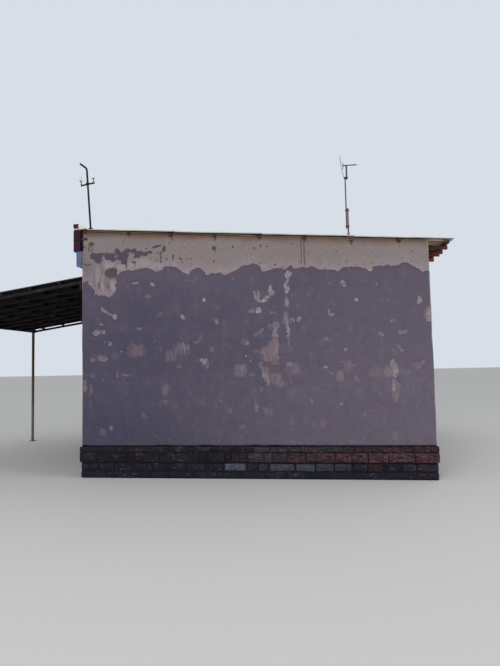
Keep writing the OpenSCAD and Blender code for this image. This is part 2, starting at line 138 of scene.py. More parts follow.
def speckled(name, rough, patch, edges, first, second, bumps, metal=0.0, specular=0.25):
    """A look of two colours in patches. `patch` has the noise's grain and detail, `edges` where
    one colour passes into the other, `bumps` the grain, detail, depth and strength of its relief."""
    look = Look(name, rough, metal, specular)
    colour = look.mix((look.grain(*patch), *edges), first, second)
    look.coat(colour, *((look.grain(*bumps[:2]), *bumps[2:]) if bumps else ()))
    return look


def new_mesh(name, points, faces, smooth=True):
    """An object at the origin from an array of points and a list of arrays of faces, each with
    its own number of corners a face."""
    mesh = bpy.data.meshes.new(name)
    corners = np.concatenate([np.ravel(group) for group in faces])
    counts = np.concatenate([np.full(len(group), group.shape[1]) for group in faces])
    starts = np.concatenate([[0], np.cumsum(counts)[:-1]])
    mesh.vertices.add(len(points))
    mesh.vertices.foreach_set("co", np.asarray(points, dtype=np.float32).ravel())
    mesh.loops.add(len(corners))
    mesh.loops.foreach_set("vertex_index", corners.astype(np.int32))
    mesh.polygons.add(len(counts))
    mesh.polygons.foreach_set("loop_start", starts.astype(np.int32))
    mesh.update(calc_edges=True)
    mesh.polygons.foreach_set("use_smooth", np.full(len(counts), smooth))
    thing = bpy.data.objects.new(name, mesh)
    bpy.context.collection.objects.link(thing)
    return thing


def carry(thing, **labels):
    """Writes numbers on the mesh, one for each point, which a look reads by their label. Where
    there are fewer, each holds for as many points in a row."""
    count = len(thing.data.vertices)
    for label, values in labels.items():
        values = np.asarray(values, dtype=np.float32).ravel()
        layer = thing.data.attributes.get(label) or thing.data.attributes.new(label, "FLOAT", "POINT")
        layer.data.foreach_set("value", np.repeat(values, count // len(values)))


def block_net():
    """The points and faces of a cube's skin cut in three each way: lattice numbers 0 to 3 along
    each edge, kept where at least one of the three is 0 or 3."""
    grid = np.array([p for p in np.ndindex(4, 4, 4) if {0, 3} & set(p)])
    number = {tuple(p): n for n, p in enumerate(grid)}
    faces = []
    for axis, side, a, b in np.ndindex(3, 2, 3, 3):
        ring = [(a, b), (a + 1, b), (a + 1, b + 1), (a, b + 1)]
        corners = [np.roll((3 * side, p, q), axis) for p, q in (ring if side else ring[::-1])]
        faces.append([number[tuple(corner)] for corner in corners])
    return grid, np.array(faces)


def blocks(name, boxes, rounding, wobble, seed, place=None):
    """Many blocks in one mesh, from pairs of a low and a high corner. Each point of the cut cube
    lies at -1, -in, in or 1 of the half size; the part of it outside the inner box is shortened
    to the rounding radius, which rounds every edge, and a seeded push of up to `wobble` roughens
    it. `place` turns the points from the frame they are given in to the house's."""
    boxes = np.asarray(boxes, float)
    lows, highs = boxes[:, 0], boxes[:, 1]
    rounding = np.broadcast_to(np.asarray(rounding, float), (len(lows),))[:, None, None]
    grid, faces = block_net()
    half = ((highs - lows) / 2)[:, None, :]
    middle = ((highs + lows) / 2)[:, None, :]
    radius = np.minimum(rounding, half.min(axis=2, keepdims=True) * 0.95)
    sign = np.where(grid[None] < 2, -1.0, 1.0)
    rest = np.where((grid[None] == 0) | (grid[None] == 3), sign, 0.0)
    rest = rest / np.maximum(np.linalg.norm(rest, axis=2, keepdims=True), 1e-9)
    core = sign * (half - radius)
    rng = np.random.default_rng(seed)
    points = middle + core + rest * radius + rng.uniform(-wobble, wobble, core.shape)
    points = points.reshape(-1, 3)
    every = faces[None] + (np.arange(len(lows)) * len(grid))[:, None, None]
    thing = new_mesh(name, points if place is None else place(points), [every.reshape(-1, 4)])
    carry(thing, tone=rng.uniform(0, 1, len(lows)))
    return thing


def paint(thing, look):
    """Gives the piece this look alone."""
    thing.data.materials.clear()
    thing.data.materials.append(look.stuff)


def dress(thing, look, slot, *nodes):
    """Gives the piece its look, hangs it on the body and stands it for CAD nodes. The slot is not used."""
    paint(thing, look)
    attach(thing, "root")
    if nodes:
        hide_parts(*nodes)


masonry = Look("plinth masonry", 0.88)
blotch = masonry.grain(0.055, 6, (1, 1, 2.6), 0.7)
dark_brick = masonry.mix(("tone", 0.0, 0.45), (24, 18, 29), (60, 39, 47))
brick = masonry.mix(("tone", 0.5, 0.95), dark_brick, (92, 62, 64))
field_stone = masonry.mix(("tone", 0.05, 0.5), (88, 92, 106), (92, 84, 80))
clear = masonry.step("MAXIMUM", (blotch, 0.40, 0.62, 0.12, 1.0), masonry.times("pale", 0.5))
stained = masonry.mix(clear, (14, 13, 19), masonry.mix(("pale", 0.0, 1.0), brick, field_stone))
chipped = masonry.times((masonry.grain(0.045, 6, (1, 1, 2.4), 0.66), 0.51, 0.62),
                        (masonry.grain(0.2, 4), 0.45, 0.6, 0.05, 0.8))
masonry.coat(masonry.over(stained, ((masonry.grain(0.4, 3), 0.42, 0.6, 0.0, 0.35), (26, 26, 34)),
                          # damp: damp stains and a painted shade, a dark blue that is strongest on the
                          # lowest course
                          (("damp", 0.0, 1.0, 0.0, 0.9), (20, 22, 36)),
                          (chipped, masonry.mix(("tone", 0.0, 0.5), (68, 63, 80), (98, 70, 75)))),
             masonry.plus(masonry.grain(0.008, 5), blotch), 0.006, 0.7)
mortar = speckled("dark mud mortar", 0.95, (0.03, 5), (0.35, 0.65), (15, 13, 18), (32, 29, 35),
                  (0.01, 5, 0.006, 0.8))


def side_boxes(side, starts, stops, z_low, z_high, face_out, face_in):
    """Boxes on one side of the house, given along the side from its left end as seen from
    outside: (start, stop) and heights, turned onto the side's plane."""
    along_x = {"front": (LEFT + starts, LEFT + stops), "back": (RIGHT - stops, RIGHT - starts),
               "right": (RIGHT - face_in, RIGHT + face_out), "left": (LEFT - face_out, LEFT + face_in)}
    along_y = {"front": (-face_out, face_in), "back": (DEPTH - face_in, DEPTH + face_out),
               "right": (starts, stops), "left": (DEPTH - stops, DEPTH - starts)}
    boxes = np.zeros((len(starts), 2, 3))
    for axis, spans in enumerate((along_x[side], along_y[side], (z_low, z_high))):
        boxes[:, 0, axis], boxes[:, 1, axis] = spans
    return boxes


def course_cuts(length, brick, rng, door=None):
    """Joint places along a course: bricks of about one length with seeded differences, fitted to
    the course, without those that would stand in a doorway."""
    count = max(int(round(length / brick)), 1)
    widths = rng.uniform(0.72, 1.28, count)
    edges = np.concatenate([[0.0], np.cumsum(widths)]) * length / widths.sum()
    starts, stops = edges[:-1], edges[1:]
    if door is not None:
        keep = (stops < door[0] + 0.05) | (starts > door[1] - 0.05)
        starts, stops = np.clip(starts[keep], 0, None), stops[keep]
        stops[np.flatnonzero(starts < door[0])[-1]] = door[0]
        starts[np.flatnonzero(starts > door[0])[0]] = door[1]
    return starts, stops


def ease(low, high, value):
    """0 below low, 1 above high, and a smooth step between."""
    t = np.clip((value - low) / (high - low), 0, 1)
    return t * t * (3 - 2 * t)


# joints of the two courses whose bricks and stones can be told apart on the front
front_joints = {
    1: [0.0, 0.24, 0.47, 0.72, 0.98, 1.235, 1.49, 1.745, 1.825, 1.975, 2.235, 2.325, 2.455, 2.58, 2.815,
        2.935, 3.155, 3.425, 3.585, 3.845, 4.085, 4.315, 4.6, 4.965, 5.27],
    2: [0.0, 0.28, 0.52, 0.83, 1.12, 1.4, 1.66, 1.93, 2.215, 2.555, 2.725, 2.885, 3.27, 3.56, 3.83, 4.085,
        4.305, 4.53, 4.785, 4.985, 5.27]}
pale_stones = {8: 0.85, 10: 0.35, 11: 0.7, 12: 0.95, 13: 0.6, 14: 0.4}
# each course from the top: foot, head, how far it stands out, length of its bricks, radius of
# their edges, share of pale stones among them, joint, and how far damp stains and painted shade darken it
courses = [(0.388, 0.474, UPPER_OUT, 0.85, 0.008, 0.1, 0.0025, 0.0),
           (0.246, 0.382, UPPER_OUT, 0.25, 0.006, 0.0, 0.006, 0.0),
           (0.112, 0.232, LOWER_OUT, 0.29, 0.022, 0.55, 0.006, 0.15),
           (0.003, 0.104, LOWER_OUT, 0.34, 0.016, 0.25, 0.006, 0.82)]
rng = np.random.default_rng(11)
boxes, radii, shades, lights, wet = [], [], [], [], []
for side, length in SIDES:
    door = (DEPTH - DOOR_FAR, DEPTH - DOOR_NEAR) if side == "left" else None
    for level, (z_low, z_high, out, brick_long, radius, stony, joint, damp) in enumerate(courses):
        if side == "front" and level in front_joints:
            joints = np.array(front_joints[level])
            starts, stops = joints[:-1], joints[1:]
        else:
            starts, stops = course_cuts(length, brick_long, rng, door)
        past = (out if side in ("front", "back") else -0.02) + joint
        starts, stops = starts + joint, stops - joint
        starts[0] -= past
        stops[-1] += past
        n = len(starts)
        boxes.append(side_boxes(side, starts, stops, z_low + rng.uniform(0, 0.006, n),
                                z_high - rng.uniform(0, 0.008, n), out - rng.uniform(0, 0.005, n), 0.05))
        shade = rng.uniform(0, 1, n)
        light = (rng.uniform(0, 1, n) < stony) * rng.uniform(0.25, 0.9, n)
        damp_and_shaded = np.full(n, damp)
        middle = (starts + stops) / 2
        if level == 0:
            shade, light = shade * 0.3, light * 0.3
        # on the front the tones rise to the right and the lower courses take more of the dark blue at the
        # left: painted shade
        if side == "front" and level == 0:
            shade = shade + 0.45 * (middle > 4.6)
            light = np.where((middle > 2.6) & (middle < 3.9), 0.35, 0.12)
        elif side == "front" and level == 1:
            shade = np.clip(0.85 * ease(1.9, 4.2, middle) + rng.uniform(-0.15, 0.15, n), 0, 1)
            light = 0.14 * (rng.uniform(0, 1, n) < 0.5) + 0.26 * ((middle > 2.6) & (middle < 3.3))
        elif side == "front":
            shade = np.clip(0.18 * ease(2.2, 4.6, middle) + rng.uniform(-0.1, 0.14, n), 0, 1)
            light = rng.uniform(0.05, 0.3, n)
            if level == 2:
                light[list(pale_stones)] = list(pale_stones.values())
            damp_and_shaded = damp_and_shaded + 0.35 * (1 - ease(1.5, 2.2, middle))
        radii.append(np.full(n, radius))
        shades.append(shade)
        lights.append(light)
        wet.append(damp_and_shaded)
bricks = blocks("plinth_bricks", np.vstack(boxes), np.concatenate(radii), 0.0022, 5)
carry(bricks, tone=np.concatenate(shades), pale=np.concatenate(lights), damp=np.concatenate(wet))
dress(bricks, masonry, "plinth")


def net(rows, columns):
    """Quads over a grid of points that are numbered row by row."""
    i, j = np.meshgrid(np.arange(rows - 1), np.arange(columns - 1), indexing="ij")
    first = i * columns + j
    return np.stack([first, first + columns, first + columns + 1, first + 1], -1)


def carried(name, sections, smooth=True):
    """Closed bars from an array of (bar, ring, point round the ring, xyz): neighbouring rings are
    joined by quads, and each end is closed by a fan to its ring's middle. Where the volume by
    summed corner products comes out negative, all faces are turned round."""
    bars, rings, around = sections.shape[:3]
    ends = sections[:, [0, -1]].mean(2)
    points = np.concatenate([sections.reshape(bars, rings * around, 3), ends], axis=1)
    i, j = np.meshgrid(np.arange(rings - 1) * around, np.arange(around), indexing="ij")
    k = (j + 1) % around
    quads = np.stack([i + j, i + k, i + around + k, i + around + j], -1).reshape(-1, 4)
    j, k = j[0], k[0]
    last, middle = (rings - 1) * around, np.full(around, rings * around)
    fans = np.vstack([np.stack([middle, k, j], 1), np.stack([middle + 1, last + j, last + k], 1)])
    one = points[0] - points[0].mean(0)
    tri = np.vstack([quads[:, :3], quads[:, [0, 2, 3]], fans])
    volume = np.einsum("ij,ij->i", one[tri[:, 0]], np.cross(one[tri[:, 1]], one[tri[:, 2]])).sum()
    if volume < 0:
        quads, fans = quads[:, ::-1], fans[:, ::-1]
    shift = (np.arange(bars) * points.shape[1])[:, None, None]
    faces = [(group[None] + shift).reshape(-1, group.shape[1]) for group in (quads, fans)]
    return new_mesh(name, points.reshape(-1, 3), faces, smooth)


# the mortar's own face, set back behind the bricks', as a profile of (outwards, height) that is
# carried from one side of the doorway round the house to the other
lower, upper = LOWER_OUT - 0.010, UPPER_OUT - 0.010
profile = np.array([(lower, 0.0), (lower, LEDGE), (upper, LEDGE + 0.002), (upper, 0.464), (-0.002, 0.468),
                    (-0.004, PLINTH_TOP), (-WALL_THICK, PLINTH_TOP), (-WALL_THICK, 0.0)])
corners = np.array([(LEFT, DOOR_FAR), (LEFT, DEPTH), (RIGHT, DEPTH), (RIGHT, 0.0), (LEFT, 0.0),
                    (LEFT, DOOR_NEAR)])
outward = np.array([(-1, 0), (-1, 1), (1, 1), (1, -1), (-1, -1), (-1, 0)], float)
ring = np.zeros((1, len(corners), len(profile), 3))
ring[0, ..., :2] = corners[:, None] + outward[:, None] * profile[None, :, :1]
ring[0, ..., 2] = profile[None, :, 1]
dress(carried("plinth_core", ring, False), mortar, "plinth", "plinth_front", "plinth_right", "plinth_back",
      "plinth_left_near", "plinth_left_far")


# Walls: solid adobe, plumb, plastered by hand with a pale mud coat. A second, dark mud coat was
# laid over its lower part and has worn off in spots. The coats follow the wall's bumps, and run
# round the four corners. The inner faces and reveals are the walls' own solids.
PROUD, COAT_HANG = 0.006, 0.016
EAVE_HIGH, EAVE_LOW = 3.850, 3.434
slope = (EAVE_HIGH - EAVE_LOW) / (RIGHT - LEFT)


def roof_at(x):
    """Height of the roof plane, the purlins' tops, at x."""
    return EAVE_HIGH - (x - LEFT) * slope


def chance(cell, seed):
    """A repeatable number from 0 to 1 for each whole-number cell: its three coordinates are
    multiplied by large odd numbers, mixed by shifts and the last bits are kept."""
    x, y, z = np.moveaxis(cell, -1, 0).astype(np.uint32)
    n = (x * np.uint32(374761393) + y * np.uint32(668265263) + z * np.uint32(2147483647)
         + np.uint32(seed * 7919 + 17))
    n = (n ^ (n >> np.uint32(13))) * np.uint32(1274126177)
    n = (n ^ (n >> np.uint32(15))) * np.uint32(2246822519)
    return ((n ^ (n >> np.uint32(16))) & np.uint32(0xFFFF)).astype(float) / 65535.0


def lumps(points, size, seed):
    """Smooth noise from -1 to 1 at points in metres: each point's cell of `size` metres has a
    chance value at its eight corners, blended by the cubic ease 3t2 - 2t3 along each axis."""
    at = points / size + 100.0
    cell = np.floor(at).astype(np.int64)
    t = at - cell
    t = t * t * (3 - 2 * t)
    total = np.zeros(points.shape[:-1])
    for corner in range(8):
        step = np.array([corner & 1, corner >> 1 & 1, corner >> 2 & 1])
        share = np.prod(np.where(step == 1, t, 1 - t), axis=-1)
        total += share * chance(cell + step, seed)
    return total * 2 - 1


# where the dark coat ends on the front wall: distance along it and height
coat_edge = [(-2.63, 3.02), (-2.53, 3.02), (-2.47, 2.98), (-2.42, 2.81), (-2.33, 2.82), (-2.17, 2.78),
             (-2.15, 2.81), (-2.10, 2.84), (-2.08, 2.91), (-2.06, 3.13), (-1.90, 3.20), (-1.80, 3.17),
             (-1.69, 3.21), (-1.60, 3.21), (-1.43, 3.14), (-1.33, 3.16), (-1.32, 3.21), (-1.19, 3.22),
             (-1.12, 3.20), (-0.99, 3.10), (-0.93, 3.08), (-0.82, 3.17), (-0.75, 3.17), (-0.70, 3.14),
             (-0.66, 3.09), (-0.65, 3.05), (-0.61, 3.07), (-0.43, 3.09), (-0.34, 3.04), (-0.31, 3.04),
             (-0.27, 3.08), (-0.12, 3.14), (-0.09, 3.17), (0.08, 3.20), (0.17, 3.16), (0.19, 3.10),
             (0.21, 3.08), (0.27, 3.07), (0.34, 3.08), (0.38, 3.11), (0.44, 3.12), (0.56, 3.10),
             (0.65, 3.13), (0.67, 3.10), (0.83, 3.12), (0.88, 3.10), (0.93, 3.11), (0.95, 3.13),
             (0.96, 3.11), (1.07, 3.06), (1.15, 3.07), (1.35, 3.03), (1.44, 3.09), (1.51, 3.09),
             (1.55, 3.07), (1.59, 3.09), (1.73, 3.05), (1.80, 3.00), (1.83, 3.02), (1.84, 3.07),
             (1.92, 3.07), (2.06, 3.10), (2.10, 3.07), (2.22, 3.08), (2.25, 3.12), (2.30, 3.12),
             (2.36, 3.10), (2.39, 3.06), (2.51, 2.99), (2.53, 2.96), (2.63, 2.99)]
edge_x, edge_z = zip(*coat_edge)


# marks on the front wall in centimetres: distance along it, height, half width, half height, lean
# in degrees, and in tenths how much of it shows. These and the coat's edge were picked by eye in the
# photo; scratch scripts turned the picks into distances on the wall, rounded and sorted them
scraped_pale = [
    (64, 302, 2, 3.5, 0, 9), (-190, 292, 1.5, 1.5, 0, 4), (-176, 297, 4.5, 2, 10, 8),
    (-150, 294, 2, 4, 30, 9), (-24, 297, 1.5, 1.5, 0, 7), (-24, 298, 1.5, 1.5, 0, 9), (55, 286, 2, 4, 0, 9),
    (57, 289, 2, 3.5, 25, 9), (59, 299, 2.5, 8.5, 0, 10), (61, 298, 2.5, 1.5, 0, 8),
    (120, 286, 1.5, 2, 0, 4), (140, 286, 3, 2, -20, 8), (142, 282, 2.5, 2.5, 0, 8),
    (190, 281, 2, 1.5, 0, 6), (202, 284, 2, 1.5, 0, 5), (-157, 276, 4.5, 2, 0, 5),
    (-69, 267, 2, 2.5, 0, 10), (10, 272, 1.5, 7, 20, 8), (13, 266, 2.5, 2.5, 0, 8), (15, 272, 1.5, 7, 0, 8),
    (20, 263, 6.5, 2, 0, 10), (25, 267, 2.5, 2.5, -30, 8), (30, 269, 3.5, 1.5, 35, 8),
    (33, 280, 2.5, 5.5, -10, 10), (35, 275, 3, 4, 20, 8), (36, 276, 2.5, 3, 0, 9), (58, 279, 3, 5, 0, 10),
    (-230, 259, 1.5, 4.5, 20, 8), (-223, 254, 6.5, 1.5, -30, 8), (-215, 250, 4, 1.5, -20, 7),
    (-210, 247, 4, 4, -30, 7), (-138, 248, 4.5, 3, 20, 4), (-102, 243, 2.5, 3.5, 10, 8),
    (6, 248, 6.5, 3, 0, 6), (14, 249, 4, 4, 0, 10), (33, 245, 2, 2.5, 0, 5), (37, 245, 2, 1.5, 0, 5),
    (57, 260, 2.5, 7, 0, 8), (119, 243, 1.5, 4, 15, 7), (159, 260, 3, 3, 0, 10), (204, 256, 2, 3.5, 0, 4),
    (247, 259, 3, 2.5, 0, 8), (248, 256, 3.5, 4, 0, 8), (-240, 222, 5, 4.5, 0, 8),
    (-236, 224, 3.5, 2.5, 0, 7), (-231, 236, 4, 1.5, 0, 7), (-228, 223, 3, 3, 0, 8),
    (-171, 227, 4, 2, 0, 5), (-53, 238, 3, 1.5, -10, 4), (-49, 233, 2, 5, 20, 8), (31, 224, 3, 4, 0, 4),
    (40, 226, 5.5, 5, 0, 6), (55, 239, 3, 7.5, 0, 6), (66, 233, 3, 3, 0, 7), (75, 234, 3, 3.5, 0, 8),
    (122, 239, 4, 2, -10, 8), (208, 227, 2, 2, 0, 8), (262, 235, 5, 9.5, -10, 8),
    (-253, 205, 1.5, 1.5, 0, 4), (-227, 207, 1.5, 1.5, 0, 6), (-218, 205, 2.5, 3.5, 0, 8),
    (-83, 204, 3.5, 2, 0, 4), (-78, 207, 6.5, 1.5, 40, 5), (18, 218, 4, 2, 30, 4),
    (38, 214, 2.5, 6.5, -25, 7), (58, 218, 2, 15, 5, 8), (59, 203, 1.5, 7.5, 0, 6),
    (113, 205, 3, 1.5, 0, 5), (191, 209, 3.5, 2, 0, 6), (196, 207, 1.5, 1.5, 0, 6),
    (220, 213, 2.5, 1.5, 20, 5), (224, 210, 5, 2, 0, 6), (-230, 182, 7, 4, 0, 5), (-200, 192, 3, 1, -35, 6),
    (-137, 194, 2.5, 2.5, 0, 4), (-108, 197, 1, 6.5, 0, 4), (-100, 195, 1.5, 9, 5, 6),
    (-94, 193, 1.5, 7.5, 0, 6), (-58, 192, 3.5, 3.5, 0, 4), (-4, 200, 2.5, 2.5, 0, 7),
    (-4, 181, 1.5, 1.5, 0, 10), (35, 191, 1.5, 11, 0, 4), (41, 196, 1.5, 20.5, 0, 6),
    (142, 187, 1.5, 3.5, 0, 8), (216, 190, 3.5, 1.5, -30, 5), (220, 185, 2, 4, 30, 6),
    (-246, 180, 4.5, 3, 0, 5), (-108, 167, 3.5, 2.5, 0, 4), (-70, 175, 5.5, 3.5, -25, 8),
    (-65, 167, 1.5, 2.5, 10, 7), (1, 174, 1.5, 1.5, 0, 8), (17, 164, 3, 6.5, 25, 6),
    (38, 169, 5.5, 2.5, 0, 4), (59, 168, 5, 3, 0, 6), (111, 163, 2.5, 2, 0, 8),
    (136, 169, 3.5, 1.5, -10, 5), (153, 164, 2.5, 1.5, 0, 4), (208, 165, 3.5, 5.5, -10, 8),
    (236, 165, 1.5, 1.5, 0, 4), (249, 166, 1, 2, 0, 6), (-246, 155, 3.5, 3, 0, 4),
    (-229, 148, 1.5, 1.5, 0, 4), (-205, 156, 1, 3.5, 0, 6), (-195, 156, 6.5, 1, -5, 7),
    (2, 153, 5, 3.5, 0, 4), (19, 154, 2, 7.5, 15, 8), (26, 146, 2, 9, 15, 7), (118, 154, 4.5, 1, -35, 5),
    (155, 145, 2, 4, 25, 5), (211, 157, 3, 9, -5, 8), (229, 152, 2, 1.5, 0, 4), (-130, 132, 5, 7.5, 0, 4),
    (17, 131, 2.5, 4, 0, 5), (26, 137, 2, 2, 0, 4), (158, 140, 1.5, 2, 0, 6), (207, 134, 2, 9, -5, 8),
    (218, 122, 2, 1, 0, 4), (226, 133, 1.5, 3, 20, 4), (-138, 113, 1, 5, 0, 4), (-130, 114, 3.5, 3.5, 0, 4),
    (-45, 115, 3.5, 1, 0, 5), (9, 105, 1.5, 4.5, 0, 5), (9, 103, 3, 4.5, 0, 4), (19, 102, 3.5, 1.5, -30, 4),
    (90, 113, 1.5, 3, 30, 7), (131, 108, 3.5, 2, 0, 6), (210, 117, 2.5, 7, 0, 5),
    (-165, 95, 3.5, 5.5, 15, 4), (-32, 100, 3, 4, 0, 4), (164, 91, 1.5, 2.5, 0, 5),
    (165, 93, 1, 4.5, -30, 4), (175, 99, 5, 1, 10, 4), (-230, 69, 4.5, 4.5, 0, 4),
    (-216, 76, 2.5, 3.5, 0, 6), (-11, 77, 4.5, 3, 0, 4),
]
rubbed_pink = [
    (-35, 290, 6.5, 2, 0, 4), (56, 231, 6, 5.5, 0, 8), (-7, 201, 6.5, 4, -20, 7), (14, 215, 8, 3, 40, 8),
    (116, 203, 7, 3.5, -5, 8), (-237, 183, 12.5, 4.5, 0, 5), (-209, 185, 4.5, 5, 0, 5),
    (-186, 197, 3, 5, 0, 6), (-175, 193, 12.5, 9.5, 0, 8), (-166, 194, 3.5, 7.5, 0, 7),
    (-146, 198, 3.5, 2, 0, 4), (-121, 184, 8, 8.5, 0, 8), (-106, 195, 9, 8.5, 0, 8),
    (-32, 196, 5.5, 2, -10, 4), (14, 188, 11, 2.5, -5, 7), (28, 185, 11, 11, 0, 8),
    (53, 191, 11, 6.5, 0, 6), (-70, 173, 7.5, 5, -25, 6), (-15, 163, 8.5, 4, 0, 8),
    (64, 161, 10.5, 8, -10, 8), (144, 163, 5, 7.5, 10, 9), (242, 161, 5.5, 4.5, 10, 9),
    (60, 141, 2, 2, 0, 9), (70, 157, 2, 7.5, 15, 8), (185, 153, 12, 6, 0, 8), (204, 155, 11, 9.5, 0, 7),
    (223, 153, 9, 3.5, 0, 8), (-249, 134, 2, 8.5, 0, 9), (-130, 132, 6.5, 8.5, 0, 4),
    (45, 139, 7.5, 4, 0, 7), (81, 124, 25.5, 12.5, 0, 4), (114, 135, 3, 3, 0, 5), (199, 131, 6, 5, 0, 6),
    (-250, 116, 2.5, 9, 0, 5), (7, 110, 2.5, 9, 5, 8), (57, 119, 3, 5.5, 0, 4), (114, 118, 2, 3.5, 0, 4),
    (27, 98, 7, 5, -10, 8), (105, 80, 2.5, 6, 0, 8),
]
bared_mud = [
    (-210, 247, 4.5, 4.5, -30, 10), (248, 254, 4, 3.5, 0, 10), (261, 236, 6, 11, -10, 10),
    (263, 231, 3, 7, 0, 10), (38, 211, 5, 9.5, -5, 9), (31, 187, 13, 6.5, 0, 8), (36, 196, 8, 8.5, 0, 8),
    (32, 177, 12, 5.5, 0, 8), (145, 164, 1.5, 5, 10, 7), (243, 161, 3.5, 3.5, 0, 6),
    (-15, 159, 9.5, 9, 0, 8), (25, 152, 5.5, 11, 10, 8), (37, 146, 9, 8.5, 0, 8), (67, 156, 6, 4.5, 10, 5),
    (132, 149, 5.5, 8.5, 0, 8), (201, 153, 6.5, 7, 0, 9), (211, 155, 3.5, 9.5, -5, 10),
    (-260, 140, 5, 8.5, 0, 9), (43, 139, 4.5, 5.5, 20, 8), (210, 127, 5.5, 15.5, -5, 8),
    (207, 62, 4, 7, 0, 7),
]
dark_patches = [
    (-240, 342, 10, 6, 0), (-237, 336, 7, 5, -10), (-232, 345, 8, 2.5, 0), (-218, 342, 8.5, 5.5, -10),
    (-213, 337, 5.5, 3, -20), (-206, 348, 3.5, 5.5, 10), (-201, 344, 5.5, 4.5, 0), (-195, 343, 7.5, 6.5, 0),
    (-195, 333, 6, 5.5, 0), (-198, 338, 9.5, 3, 0), (-191, 326, 1.5, 5, 0), (-187, 350, 6.5, 2, -10),
    (-180, 349, 5.5, 3, 0), (-171, 343, 7.5, 5, 0), (-171, 339, 3.5, 2.5, 0), (-162, 343, 5, 3, 0),
    (-154, 345, 6, 2, 0), (-144, 353, 5, 2.5, 25), (-138, 355, 4, 2, 0), (-130, 350, 3, 4.5, -20),
    (-132, 346, 2, 2, 0), (-218, 318, 7.5, 5.5, 0), (-210, 318, 4.5, 4.5, 0), (-218, 311, 5.5, 4.5, 0),
    (-210, 311, 4, 3, 0), (-206, 307, 2.5, 3.5, 0), (-208, 295, 2, 1.5, 0), (-247, 363, 4.5, 2.5, 0),
    (-249, 360, 2.5, 2, 20), (-252, 354, 1, 4, 5), (-151, 336, 1.5, 1.5, 0), (-143, 332, 2, 1.5, 0),
    (-126, 333, 1.5, 2.5, 0), (-116, 334, 1, 2.5, 0), (-104, 333, 2.5, 1.5, -20), (-94, 330, 1.5, 1, 0),
    (-88, 331, 1, 2, 0), (-121, 358, 1.5, 1, 0), (-118, 362, 1.5, 1, 0), (-196, 364, 1.5, 1.5, 0),
    (-97, 350, 1, 1, 0), (-179, 331, 3, 1.5, -15), (-177, 326, 1, 2.5, 0), (-177, 338, 2.5, 1.5, 0),
    (-181, 344, 2, 1, 0), (-135, 340, 1, 6, 5), (-136, 331, 1, 3.5, 0), (-158, 351, 2, 1, 0),
    (-115, 337, 1, 1, 0), (-139, 344, 1, 1.5, 0), (-52, 348, 2.5, 2.5, -20), (-50, 345, 2.5, 3.5, 0),
    (-49, 340, 1, 1, 0), (-53, 327, 1, 1.5, 0), (-21, 347, 1.5, 1.5, 0), (10, 343, 2, 1, 0),
    (6, 336, 1, 1.5, 0), (30, 345, 2.5, 1, 0), (20, 347, 1, 2, 0), (74, 343, 1, 1.5, 0),
    (92, 333, 1, 2, 10), (19, 321, 3, 1, 25), (41, 317, 1.5, 1, 0), (-37, 345, 1, 1, 0), (64, 313, 2, 1, 0),
    (119, 333, 1, 1, 0), (133, 333, 1, 1, 0), (147, 330, 1.5, 1, 0), (147, 317, 1.5, 1, 0),
    (183, 330, 1, 1.5, 0), (241, 327, 1, 1.5, 0), (263, 329, 1, 1, 0), (160, 309, 1, 1, 0),
    (108, 316, 1, 1, 0),
]
brown_stains = [
    (-260, 371, 5.5, 1.5, 0, 10), (-254, 329, 4, 1.5, 10, 9), (-258, 332, 2, 1.5, 0, 7),
    (-260, 359, 2.5, 2, 0, 5), (-235, 299, 1.5, 9.5, -5, 6), (-233, 288, 3.5, 1, -15, 6),
    (-220, 293, 1.5, 6.5, 0, 6), (-229, 321, 1, 9.5, 0, 3), (-251, 347, 1, 5, 0, 4),
    (-246, 336, 1, 6.5, 15, 4), (-186, 376, 3.5, 2, 0, 8), (-120, 369, 3, 2, 0, 8),
]
bright_mud = [
    (-219, 328, 10, 6.5, 0, 8), (-223, 337, 2, 4, 0, 8), (-200, 324, 7.5, 4.5, 0, 8),
    (-238, 312, 4.5, 17.5, 0, 7), (-230, 299, 3, 14, 0, 7), (-213, 295, 4, 9.5, 10, 9),
    (-169, 329, 19.5, 6.5, 5, 7), (-247, 310, 2.5, 9.5, 0, 4), (-115, 322, 6.5, 6, 0, 5),
    (-94, 313, 4.5, 3.5, 0, 7), (-143, 323, 12.5, 6, 0, 6), (-249, 342, 1.5, 8, 15, 7),
    (-39, 312, 8.5, 3.5, 0, 6), (-64, 307, 3, 2, 0, 7), (24, 315, 5.5, 4, 0, 7), (180, 303, 3.5, 2, 0, 9),
    (251, 301, 6, 3.5, 0, 6), (132, 306, 7.5, 3, 0, 5), (254, 312, 4.5, 7.5, 0, 4), (-185, 322, 8, 4, 0, 5),
]


def corner_walk(side, step):
    """Distances, foot points and outward directions of a wall's face from one 45 degree corner
    line to the next: a quarter turn of 30 mm radius is split between the two walls that meet."""
    bend = 0.03
    length = dict(SIDES)[side]
    along = np.linspace(bend, length - bend, int(length / step) + 1)
    corner = np.radians([-45, -30, -15])
    turn = np.concatenate([corner, 0 * along, -corner[::-1]])
    u = np.concatenate([bend + 0 * corner, along, length - bend + 0 * corner]) + bend * np.sin(turn)
    out = bend * np.cos(turn) - bend
    ways = {"front": ((1, 0), (0, -1), (LEFT, 0.0)), "right": ((0, 1), (1, 0), (RIGHT, 0.0)),
            "back": ((-1, 0), (0, 1), (RIGHT, DEPTH)), "left": ((0, -1), (-1, 0), (LEFT, DEPTH))}
    run, face, start = (np.array(v, float) for v in ways[side])
    foot = start + u[:, None] * run + out[:, None] * face
    outward = np.sin(turn)[:, None] * run + np.cos(turn)[:, None] * face
    return u, foot, outward


